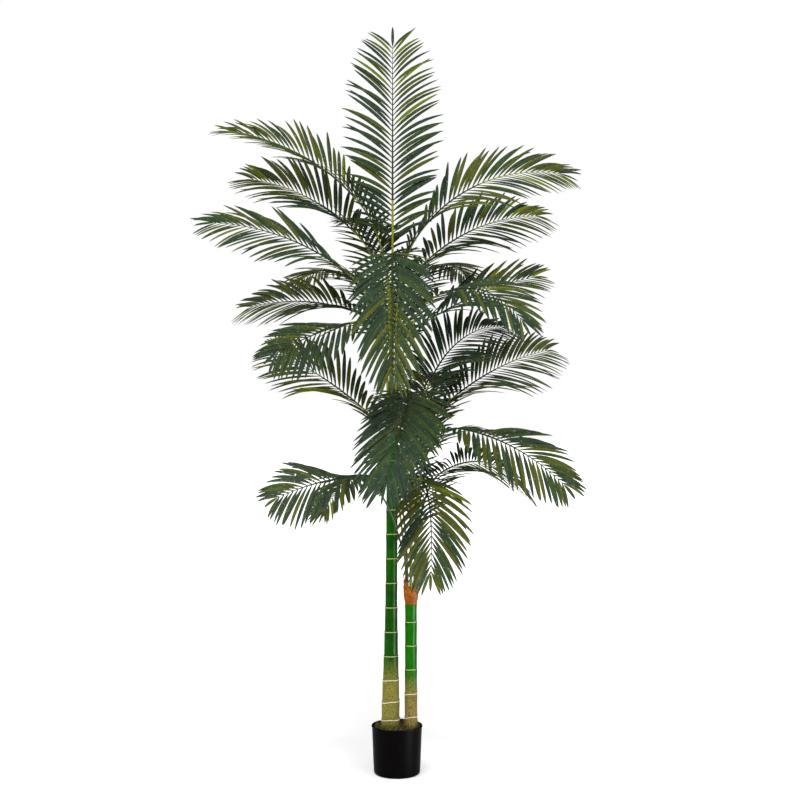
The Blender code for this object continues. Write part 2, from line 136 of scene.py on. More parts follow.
class Wiring:
    """Adds nodes to a shader or geometry tree and joins their sockets."""

    def __init__(self, tree: NodeTree) -> None:
        """Keep the tree that is wired."""
        self.tree = tree

    def add(self, kind: str, inputs: dict | None = None, **settings: object) -> Node:
        """Add a node, set its properties and feed its inputs.

        Args:
            kind: Blender's type name of the node.
            inputs: Sockets or plain values, by the input's name or number.
            settings: Properties of the node, by name.

        Returns:
            The new node.
        """
        node = self.tree.nodes.new(kind)
        for name, value in settings.items():
            setattr(node, name, value)
        for name, value in (inputs or {}).items():
            self.feed(node.inputs[name], value)
        return node

    def out(self, kind: str, inputs: dict | None = None, **settings: object) -> NodeSocket:
        """Add a node as add does and return its first output."""
        return self.add(kind, inputs, **settings).outputs[0]

    def feed(self, target: NodeSocket, value: object) -> None:
        """Link a socket into the target, or set the target's own value."""
        if isinstance(value, NodeSocket):
            self.tree.links.new(value, target)
        else:
            target.default_value = value

    def math(self, operation: str, *values: object) -> NodeSocket:
        """Put a Math node on one to three values and return its output."""
        return self.out("ShaderNodeMath", dict(enumerate(values)), operation=operation)

    def times(self, first: object, second: object) -> NodeSocket:
        """Return the product of two values."""
        return self.math("MULTIPLY", first, second)

    def vector(self, operation: str, *values: object) -> NodeSocket:
        """Put a Vector Math node on its values and return its vector output."""
        return self.out("ShaderNodeVectorMath", dict(enumerate(values)), operation=operation)

    def point(self, *parts: object) -> NodeSocket:
        """Join up to three values into a vector."""
        return self.out("ShaderNodeCombineXYZ", dict(enumerate(parts)))

    def parts(self, vector: object) -> Sequence[NodeSocket]:
        """Split a vector into its three values."""
        return self.add("ShaderNodeSeparateXYZ", {0: vector}).outputs

    def here(self) -> NodeSocket:
        """Return the object coordinates of a shader."""
        return self.add("ShaderNodeTexCoord").outputs["Object"]

    def ranged(
        self, value: object, low: object, high: object, start: object = 0.0, end: object = 1.0
    ) -> NodeSocket:
        """Map a value from low..high to start..end, clamped, and return the result."""
        return self.out("ShaderNodeMapRange", dict(enumerate((value, low, high, start, end))))

    def mix(self, share: object, first: object, second: object) -> NodeSocket:
        """Mix two colours by a share and return the colour output."""
        first, second = ((*colour, 1.0) if isinstance(colour, tuple) else colour for colour in (first, second))
        return self.add("ShaderNodeMix", {0: share, 6: first, 7: second}, data_type="RGBA").outputs[2]

    def noise(self, place: object, scale: object, detail: float) -> NodeSocket:
        """Put a Noise Texture at a place and return its factor."""
        return self.out("ShaderNodeTexNoise", {"Vector": place, "Scale": scale, "Detail": detail})


def new_group(name: str, kind: str, inputs: Iterable[tuple], outputs: Iterable[tuple]) -> tuple:
    """Start a node group with named sockets.

    Args:
        name: Name of the group.
        kind: ShaderNodeTree or GeometryNodeTree.
        inputs: Pairs of socket name and socket type, with a default value where it has one.
        outputs: Pairs of socket name and socket type.

    Returns:
        The wiring, the group's given inputs by name and its output node.
    """
    tree = bpy.data.node_groups.new(name, kind)
    for label, socket_kind, *default in inputs:
        socket = tree.interface.new_socket(label, in_out="INPUT", socket_type=socket_kind)
        if default:
            socket.default_value = default[0]
    for label, socket_kind in outputs:
        tree.interface.new_socket(label, in_out="OUTPUT", socket_type=socket_kind)
    wiring = Wiring(tree)
    return wiring, wiring.add("NodeGroupInput").outputs, wiring.add("NodeGroupOutput")


# ------------------------------------------------------------- shader effects


class Effects:
    """Shader node groups that several finishes share, each built once."""

    def __init__(self) -> None:
        """Build the groups."""
        self.speckle = self._speckle()
        self.fibre = self._fibre()
        self.scuff = self._scuff()
        self.veins = self._veins()

    @staticmethod
    def _group(name: str, outputs: Sequence[str], **inputs: float) -> tuple:
        """Start a shader group whose sockets are all plain numbers."""
        given = [(label, FLOAT, value) for label, value in inputs.items()]
        return new_group(name, "ShaderNodeTree", given, [(label, FLOAT) for label in outputs])

    def _speckle(self) -> NodeTree:
        """Small dots: Scale, Coverage and Softness give a Mask and a Height."""
        wiring, given, result = self._group("speckle", ("Mask", "Height"), Scale=400.0, Coverage=0.5, Softness=0.08)
        dots = wiring.noise(wiring.here(), given["Scale"], 4.0)
        edge = wiring.math("SUBTRACT", 1.0, given["Coverage"])
        low = wiring.math("SUBTRACT", edge, given["Softness"])
        high = wiring.math("ADD", edge, given["Softness"])
        wiring.feed(result.inputs["Mask"], wiring.ranged(dots, low, high))
        wiring.feed(result.inputs["Height"], dots)
        return wiring.tree

    def _fibre(self) -> NodeTree:
        """Upright streaks: Scale and Stretch give a Mask and a Height."""
        wiring, given, result = self._group("fibre", ("Mask", "Height"), Scale=300.0, Stretch=0.08)
        drawn = wiring.vector("MULTIPLY", wiring.here(), wiring.point(1.0, 1.0, given["Stretch"]))
        streaks = wiring.noise(drawn, given["Scale"], 5.0)
        wiring.feed(result.inputs["Mask"], wiring.ranged(streaks, 0.38, 0.62))
        wiring.feed(result.inputs["Height"], streaks)
        return wiring.tree

    def _scuff(self) -> NodeTree:
        """Handling marks and dust: Scale, Amount and Reach give a Mask, stronger near the floor."""
        wiring, given, result = self._group("scuff", ("Mask",), Scale=60.0, Amount=0.4, Reach=0.1)
        place = wiring.here()
        low = wiring.ranged(wiring.parts(place)[2], 0.0, given["Reach"], 1.0, 0.25)
        cloud = wiring.ranged(wiring.noise(place, given["Scale"], 6.0), 0.5, 0.75)
        wiring.feed(result.inputs["Mask"], wiring.times(wiring.times(low, cloud), given["Amount"]))
        return wiring.tree

    def _veins(self) -> NodeTree:
        """Printed grooves of a leaflet from its UV map: Count and Weave give a Height and a Mask."""
        wiring, given, result = self._group("veins", ("Height", "Mask"), Count=14.0, Weave=90.0)
        across, along, _ = wiring.parts(wiring.out("ShaderNodeUVMap", uv_map="UVMap"))
        groove = wiring.math("SINE", wiring.times(wiring.times(across, given["Count"]), tau))
        thread = wiring.math("SINE", wiring.times(wiring.times(along, given["Weave"]), tau))
        both = wiring.math("ADD", wiring.times(groove, 0.8), thread)
        height = wiring.ranged(both, -1.8, 1.8)
        wiring.feed(result.inputs["Height"], height)
        wiring.feed(result.inputs["Mask"], wiring.ranged(height, 0.3, 0.7))
        return wiring.tree


class Finish:
    """A material under construction: one Principled shader and the effects that feed it."""

    def __init__(self, name: str, roughness: float, gloss: float) -> None:
        """Start the material.

        Args:
            name: Name of the material.
            roughness: Plain roughness, which a mask may vary.
            gloss: Strength of the mirror-like reflection; 0.5 is plain plastic.
        """
        self.material = bpy.data.materials.new(name)
        self.material.use_nodes = True
        self.wiring = Wiring(self.material.node_tree)
        self.inputs = self.material.node_tree.nodes["Principled BSDF"].inputs
        self.inputs["Roughness"].default_value = roughness
        self.inputs["Specular IOR Level"].default_value = gloss

    def effect(self, group: NodeTree, **values: float) -> Mapping[str, NodeSocket]:
        """Place a shared effect with its own values and return its outputs by name."""
        return self.wiring.add("ShaderNodeGroup", values, node_tree=group).outputs

    def colour(self, value: object) -> None:
        """Feed the base colour."""
        self.wiring.feed(self.inputs["Base Color"], value)

    def rough(self, mask: object, low: float, high: float) -> None:
        """Let a mask carry the roughness from low to high."""
        self.wiring.feed(self.inputs["Roughness"], self.wiring.ranged(mask, 0.0, 1.0, low, high))

    def coat(self, mask: object, weight: float, roughness: float) -> None:
        """Lay a clear coat of a weight and a roughness where a mask says."""
        self.wiring.feed(self.inputs["Coat Weight"], self.wiring.times(mask, weight))
        self.inputs["Coat Roughness"].default_value = roughness

    def bump(self, height: object, depth: float, strength: float) -> None:
        """Raise the surface by a height from 0 to 1.

        Args:
            height: Socket with the height.
            depth: Height of the relief in metres.
            strength: How strongly the relief turns the surface.
        """
        values = {"Strength": strength, "Distance": depth, "Height": height}
        self.wiring.feed(self.inputs["Normal"], self.wiring.out("ShaderNodeBump", values))


@dataclass(frozen=True)
class LeafFinish:
    """Printed fabric of a leaflet, with fine grooves and shiny flecks whose pale colour is a painted glint.

    Attributes:
        flecks: How strong the shiny flecks and their painted glints are, with fleck_roughness for their own
            roughness.
        shade: Brightness of the grooves, and groove how much of it shows.
        painted_glint_paling: Brightness and whiteness of the painted glint colour on a fleck, and glint how much of
            that painted glint shows.
        coat: Weight and roughness of the flecks' clear coat.
        grit: Height of the grit on the grooves.
        relief: Depth and strength of the bump.
    """

    name: str
    colour: Colour
    second: Colour
    roughness: float = 0.55
    gloss: float = 0.05
    flecks: float = 0.0
    fleck_roughness: float = 0.32
    shade: float = 0.72
    groove: float = 0.35
    painted_glint_paling: tuple[float, float] = (0.5, 0.15)
    glint: float = 0.8
    coat: tuple[float, float] = (0.6, 0.25)
    grit: float = 1.2
    relief: tuple[float, float] = (0.0006, 0.7)

    def make(self, effects: Effects) -> Material:
        """Return the material."""
        finish = Finish(self.name, self.roughness, self.gloss)
        wiring = finish.wiring
        cloud = finish.effect(effects.speckle, Scale=38.0, Coverage=0.5, Softness=0.16)
        grit = finish.effect(effects.speckle, Scale=420.0, Coverage=0.5, Softness=0.04)
        patch = finish.effect(effects.speckle, Scale=130.0, Coverage=0.36, Softness=0.03)
        veins = finish.effect(effects.veins, Count=3.0, Weave=20.0)
        dark = tuple(self.shade * part for part in self.colour)
        bright, white = self.painted_glint_paling
        # The painted glint colour: a whitened copy of the second colour.
        pale = tuple(bright * part + white for part in self.second)
        base = wiring.mix(cloud["Mask"], self.colour, self.second)
        base = wiring.mix(wiring.times(veins["Mask"], self.groove), base, dark)
        # Shiny flecks: a real clear coat and lower roughness, plus a painted glint of the pale colour in the base
        # colour.
        gloss_and_painted_glint = wiring.times(wiring.times(veins["Mask"], patch["Mask"]), self.flecks)
        finish.colour(wiring.mix(wiring.times(gloss_and_painted_glint, self.glint), base, pale))
        finish.coat(gloss_and_painted_glint, *self.coat)
        finish.rough(gloss_and_painted_glint, self.roughness, self.fleck_roughness)
        height = wiring.math("ADD", veins["Height"], wiring.times(grit["Height"], self.grit))
        finish.bump(height, *self.relief)
        return finish.material


@dataclass(frozen=True)
class StalkFinish:
    """Moulded plastic of petioles and ribs, with long grooves."""

    name: str
    colour: Colour
    second: Colour
    gloss: float = 0.14
    roughness: tuple[float, float] = (0.32, 0.56)
    relief: tuple[float, float] = (0.0003, 0.4)

    def make(self, effects: Effects) -> Material:
        """Return the material."""
        finish = Finish(self.name, self.roughness[0], self.gloss)
        streaks = finish.effect(effects.fibre, Scale=420.0, Stretch=0.12)
        cloud = finish.effect(effects.speckle, Scale=22.0, Coverage=0.48, Softness=0.14)
        share = finish.wiring.times(streaks["Mask"], cloud["Mask"])
        finish.colour(finish.wiring.mix(share, self.colour, self.second))
        finish.rough(streaks["Height"], *self.roughness)
        finish.bump(streaks["Height"], *self.relief)
        return finish.material


@dataclass(frozen=True)
class CaneFinish:
    """Painted plastic trunk: green above, fading in speckles to a tan foot.

    Attributes:
        fade_low: Height of the last plain tan, with fade_high as that of the first plain green.
        ragged: How far specks break the fade up and down.
        streak: How much the darker streaks of the green show.
        patina: How much the olive clouds of the foot show, and fleck its brown specks.
    """

    name: str
    fade_low: float
    fade_high: float
    green: Colour = (0.002, 0.050, 0.000)
    bright: Colour = (0.009, 0.108, 0.000)
    tan: Colour = (0.300, 0.245, 0.055)
    brown: Colour = (0.060, 0.046, 0.008)
    olive: Colour = (0.110, 0.140, 0.016)
    ragged: float = 0.16
    streak: float = 0.3
    patina: float = 0.5
    fleck: float = 0.8
    gloss: float = 0.022
    roughness: tuple[float, float] = (0.34, 0.7)
    relief: tuple[float, float] = (0.0008, 0.5)

    def make(self, effects: Effects) -> Material:
        """Return the material."""
        finish = Finish(self.name, self.roughness[0], self.gloss)
        wiring = finish.wiring
        streaks = finish.effect(effects.fibre, Scale=240.0, Stretch=0.05)
        clouds = finish.effect(effects.speckle, Scale=26.0, Coverage=0.5, Softness=0.2)
        specks = finish.effect(effects.speckle, Scale=330.0, Coverage=0.46, Softness=0.06)
        grit = finish.effect(effects.speckle, Scale=420.0, Coverage=0.5, Softness=0.12)
        shift = wiring.times(wiring.math("SUBTRACT", grit["Height"], 0.5), self.ragged)
        level = wiring.math("ADD", wiring.parts(wiring.here())[2], shift)
        painted = wiring.ranged(level, self.fade_low, self.fade_high)
        green = wiring.mix(clouds["Mask"], self.green, self.bright)
        green = wiring.mix(wiring.times(streaks["Mask"], self.streak), green, self.green)
        foot = wiring.mix(wiring.times(clouds["Mask"], self.patina), self.tan, self.olive)
        foot = wiring.mix(wiring.times(specks["Mask"], self.fleck), foot, self.brown)
        finish.colour(wiring.mix(painted, foot, green))
        worn = wiring.math("SUBTRACT", 1.0, painted)
        finish.rough(worn, *self.roughness)
        height = wiring.math("ADD", streaks["Height"], wiring.times(worn, specks["Height"]))
        finish.bump(height, *self.relief)
        return finish.material


@dataclass(frozen=True)
class HuskFinish:
    """Fibre husk with pale and dark streaks; the pale patches are painted highlights."""

    name: str
    colour: Colour = (0.430, 0.118, 0.002)
    dark: Colour = (0.230, 0.050, 0.001)
    # Colour of the painted highlights on the husk.
    pale: Colour = (0.760, 0.340, 0.030)
    streak: float = 0.45
    gloss: float = 0.08
    roughness: tuple[float, float] = (0.4, 0.68)
    relief: tuple[float, float] = (0.0008, 0.8)

    def make(self, effects: Effects) -> Material:
        """Return the material."""
        finish = Finish(self.name, self.roughness[0], self.gloss)
        streaks = finish.effect(effects.fibre, Scale=520.0, Stretch=0.06)
        clouds = finish.effect(effects.speckle, Scale=85.0, Coverage=0.45, Softness=0.1)
        # Random pale patches of painted highlight.
        glow = finish.effect(effects.speckle, Scale=55.0, Coverage=0.34, Softness=0.08)
        base = finish.wiring.mix(clouds["Mask"], self.colour, self.dark)
        base = finish.wiring.mix(glow["Mask"], base, self.pale)
        drawn = finish.wiring.times(streaks["Mask"], self.streak)
        finish.colour(finish.wiring.mix(drawn, base, self.dark))
        finish.rough(streaks["Mask"], *self.roughness)
        finish.bump(streaks["Height"], *self.relief)
        return finish.material


@dataclass(frozen=True)
class PotFinish:
    """Glossy black injection-moulded plastic, lightly scuffed and dusty near the floor."""

    name: str
    colour: Colour = (0.0020, 0.0015, 0.0018)
    dust: Colour = (0.016, 0.014, 0.012)
    gloss: float = 0.014
    roughness: tuple[float, float] = (0.37, 0.6)
    relief: tuple[float, float] = (0.00012, 0.25)

    def make(self, effects: Effects) -> Material:
        """Return the material."""
        finish = Finish(self.name, self.roughness[0], self.gloss)
        marks = finish.effect(effects.scuff, Scale=70.0, Amount=0.16, Reach=0.05)
        skin = finish.effect(effects.speckle, Scale=900.0, Coverage=0.5, Softness=0.3)
        finish.colour(finish.wiring.mix(marks["Mask"], self.colour, self.dust))
        finish.rough(marks["Mask"], *self.roughness)
        finish.bump(skin["Height"], *self.relief)
        return finish.material


@dataclass(frozen=True)
class GrainFinish:
    """Two colours that mix in specks: moss by default, or paint, mortar and paper."""

    name: str
    colour: Colour
    second: Colour
    gloss: float = 0.15
    scale: float = 520.0
    coverage: float = 0.5
    softness: float = 0.15
    roughness: tuple[float, float] = (0.82, 0.98)
    relief: tuple[float, float] = (0.0012, 0.9)
    glow: float = 0.0

    def make(self, effects: Effects) -> Material:
        """Return the material."""
        finish = Finish(self.name, self.roughness[0], self.gloss)
        values = {"Scale": self.scale, "Coverage": self.coverage, "Softness": self.softness}
        specks = finish.effect(effects.speckle, **values)
        finish.colour(finish.wiring.mix(specks["Mask"], self.colour, self.second))
        finish.rough(specks["Mask"], *self.roughness)
        finish.bump(specks["Height"], *self.relief)
        finish.inputs["Emission Color"].default_value = (*self.colour, 1.0)
        finish.inputs["Emission Strength"].default_value = self.glow
        return finish.material


class Paints:
    """All the materials of the palm, made once."""

    UPPER = {
        Tone.PINE: LeafFinish("leaf_pine", (0.008, 0.024, 0.007), (0.018, 0.044, 0.015), 0.75, 0.27, 1.0),
        Tone.FOREST: LeafFinish("leaf_forest", (0.018, 0.040, 0.004), (0.033, 0.060, 0.008), 0.75, 0.25, 1.0),
        Tone.OLIVE: LeafFinish("leaf_olive", (0.052, 0.065, 0.004), (0.074, 0.085, 0.006), 0.75, 0.18, 0.8),
        Tone.LIME: LeafFinish("leaf_lime", (0.090, 0.122, 0.001), (0.125, 0.158, 0.002), 0.75, 0.15, 0.7),
    }
    UNDER = {
        Tone.PINE: LeafFinish("underside_dark", (0.019, 0.028, 0.007), (0.029, 0.040, 0.010)),
        Tone.FOREST: LeafFinish("underside_green", (0.030, 0.043, 0.005), (0.042, 0.056, 0.008)),
        Tone.OLIVE: LeafFinish("underside_olive", (0.068, 0.078, 0.005), (0.088, 0.096, 0.008)),
        Tone.LIME: LeafFinish("underside_lime", (0.135, 0.165, 0.002), (0.175, 0.200, 0.004)),
    }
    HEEL = LeafFinish("leaf_heel", (0.100, 0.140, 0.006), (0.150, 0.190, 0.010), 0.5)
    STALK = StalkFinish("stalk_lime", (0.240, 0.260, 0.006), (0.120, 0.150, 0.006))
    RIB = StalkFinish("rib_green", (0.018, 0.028, 0.012), (0.040, 0.054, 0.014))
    MAIN_CANE = CaneFinish("cane_paint_main", 0.25, 0.33)
    SMALL_CANE = CaneFinish(
        "cane_paint_small", 0.225, 0.28, green=(0.003, 0.115, 0.000), bright=(0.016, 0.190, 0.001),
        tan=(0.340, 0.240, 0.070),
    )
    HUSK = HuskFinish("husk_fibre")
    DRY_HUSK = HuskFinish("husk_dry", (0.300, 0.190, 0.110), (0.150, 0.080, 0.040), (0.460, 0.330, 0.220))
    THREAD = GrainFinish("husk_thread", (0.48, 0.15, 0.02), (0.24, 0.06, 0.006))
    MOSS_OLIVE = GrainFinish("moss_olive", (0.130, 0.125, 0.030), (0.045, 0.055, 0.014))
    MOSS_DARK = GrainFinish("moss_dark", (0.030, 0.034, 0.010), (0.012, 0.014, 0.005))
    MOSS_STRAW = GrainFinish("moss_straw", (0.420, 0.340, 0.130), (0.240, 0.190, 0.065))
    SCAR = {
        "gloss": 0.3, "scale": 480.0, "coverage": 0.36, "softness": 0.1, "roughness": (0.5, 0.75),
        "relief": (0.0004, 0.6),
    }
    WHITE = GrainFinish("ring_white", (0.78, 0.76, 0.58), (0.42, 0.38, 0.20), **SCAR)
    CREAM = GrainFinish("ring_cream", (0.60, 0.54, 0.24), (0.30, 0.26, 0.09), **SCAR)
    PLAIN = {"gloss": 0.05, "softness": 0.3, "roughness": (0.9, 0.9), "relief": (0.0005, 0.3)}
    MORTAR = GrainFinish("weight_mortar", (0.36, 0.35, 0.33), (0.27, 0.26, 0.24), scale=260.0, **PLAIN)
    PAPER = GrainFinish("floor_paper", (0.93, 0.93, 0.93), (0.91, 0.91, 0.91), scale=3.0, glow=0.22, **PLAIN)

    def __init__(self, effects: Effects) -> None:
        """Make every material from the shared effects."""
        self.upper = {tone: finish.make(effects) for tone, finish in self.UPPER.items()}
        self.under = {tone: finish.make(effects) for tone, finish in self.UNDER.items()}
        self.heel = self.HEEL.make(effects)
        self.stalk = self.STALK.make(effects)
        self.rib = self.RIB.make(effects)
        self.cane_main = self.MAIN_CANE.make(effects)
        self.cane_small = self.SMALL_CANE.make(effects)
        self.ring_white = self.WHITE.make(effects)
        self.ring_cream = self.CREAM.make(effects)
        self.husk = self.HUSK.make(effects)
        self.husk_dry = self.DRY_HUSK.make(effects)
        self.husk_thread = self.THREAD.make(effects)
        self.moss_olive = self.MOSS_OLIVE.make(effects)
        self.moss_dark = self.MOSS_DARK.make(effects)
        self.moss_straw = self.MOSS_STRAW.make(effects)
        self.pot = PotFinish("pot_plastic").make(effects)
        self.weight = self.MORTAR.make(effects)
        self.floor = self.PAPER.make(effects)


# -------------------------------------------------------------- mesh helpers


def link(name: str, data: ID) -> Object:
    """Add an object with its data to the scene and return it."""
    item = bpy.data.objects.new(name, data)
    bpy.context.scene.collection.objects.link(item)
    return item


def meshed(name: str, bm: bmesh.types.BMesh) -> Mesh:
    """Turn all faces of a bmesh outwards, make it a mesh and free it."""
    bmesh.ops.recalc_face_normals(bm, faces=bm.faces)
    mesh = bpy.data.meshes.new(name)
    bm.to_mesh(mesh)
    bm.free()
    return mesh


def mark(mesh: Mesh, name: str, kind: str, values: Sequence, domain: str = "POINT") -> None:
    """Store values as a named attribute of a mesh's points, edges or faces."""
    data = mesh.attributes.new(name, kind, domain).data
    flat = np.array(values, np.int32 if kind == "INT" else np.float32).ravel()
    data.foreach_set("vector" if kind == "FLOAT_VECTOR" else "value", flat)


def add_piece(name: str, mesh: Mesh, materials: Sequence[Material] = ()) -> Object:
    """Link a mesh to the scene as a piece.

    Args:
        name: Name of the piece.
        mesh: Its mesh, already in place.
        materials: Material slots, in the order of the faces' indices.

    Returns:
        The new object.
    """
    for material in materials:
        mesh.materials.append(material)
    return link(name, mesh)


def fit(piece: Object, nodes: Sequence[str] = ()) -> None:
    """Let a piece ride on the palm and the solids that it stands for.

    Args:
        piece: The finished piece.
        nodes: Names of the CAD nodes that it replaces.
    """
    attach(piece, BODY)
    if nodes:
        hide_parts(*nodes)
    piece.data.calc_loop_triangles()
    log.info("%s: %d triangles", piece.name, len(piece.data.loop_triangles))


def smooth(mesh: Mesh, angle: float = 40.0) -> None:
    """Shade a mesh smooth and keep edges sharper than the angle, in degrees, crisp."""
    mesh.shade_smooth()
    mesh.set_sharp_from_angle(angle=radians(angle))


def lathe(
    name: str, profile: Sequence[tuple[float, float]], sides: int,
    move: Callable[[float, float, float], Vector] | None = None,
) -> Mesh:
    """Turn a profile that starts and ends on the axis into a closed mesh.

    Args:
        name: Name of the mesh.
        profile: Pairs of radius and height, up the outside first.
        sides: Number of columns round the axis.
        move: Gives the final place of a point from its radius, height and angle.

    Returns:
        The mesh, with its faces outwards.
    """
    move = move or (lambda radius, height, angle: Vector((radius * cos(angle), radius * sin(angle), height)))
    bm = bmesh.new()
    rows: list[list[bmesh.types.BMVert]] = []
    for radius, height in profile:
        if radius <= 0:
            rows.append([bm.verts.new(move(0.0, height, 0.0))])
        else:
            rows.append([bm.verts.new(move(radius, height, tau * side / sides)) for side in range(sides)])
    for lower, upper in zip(rows, rows[1:]):
        for side in range(sides):
            following = (side + 1) % sides
            corners = [lower[side % len(lower)], lower[following % len(lower)]]
            corners += [upper[following % len(upper)], upper[side % len(upper)]]
            bm.faces.new(list(dict.fromkeys(corners)))
    return meshed(name, bm)


def grown(carrier: Object, tree: NodeTree, name: str, values: dict[str, object]) -> Mesh:
    """Run a geometry tree on an object and return the result as a plain mesh.

    Args:
        carrier: Object that carries the tree's source geometry.
        tree: The geometry tree.
        name: Name of the new mesh.
        values: Values of the tree's named inputs.

    Returns:
        The mesh, with the tree's working attributes removed.
    """
    modifier = carrier.modifiers.new(tree.name, "NODES")
    modifier.node_group = tree
    for item in tree.interface.items_tree:
        if item.item_type == "SOCKET" and item.in_out == "INPUT" and item.name in values:
            modifier[item.identifier] = values[item.name]
    bpy.context.view_layer.update()
    graph = bpy.context.evaluated_depsgraph_get()
    mesh = bpy.data.meshes.new_from_object(carrier.evaluated_get(graph), depsgraph=graph)
    carrier.modifiers.remove(modifier)
    mesh.name = name
    keep = {"position", "material_index", "sharp_face", "sharp_edge", "UVMap"}
    names = [item.name for item in mesh.attributes]
    for label in names:
        if label not in keep and not label.startswith("."):
            mesh.attributes.remove(mesh.attributes[label])
    return mesh


def discard(piece: Object) -> None:
    """Remove a helper object and its mesh."""
    mesh = piece.data
    bpy.data.objects.remove(piece)
    bpy.data.meshes.remove(mesh)


# ------------------------------------------------------------ geometry trees


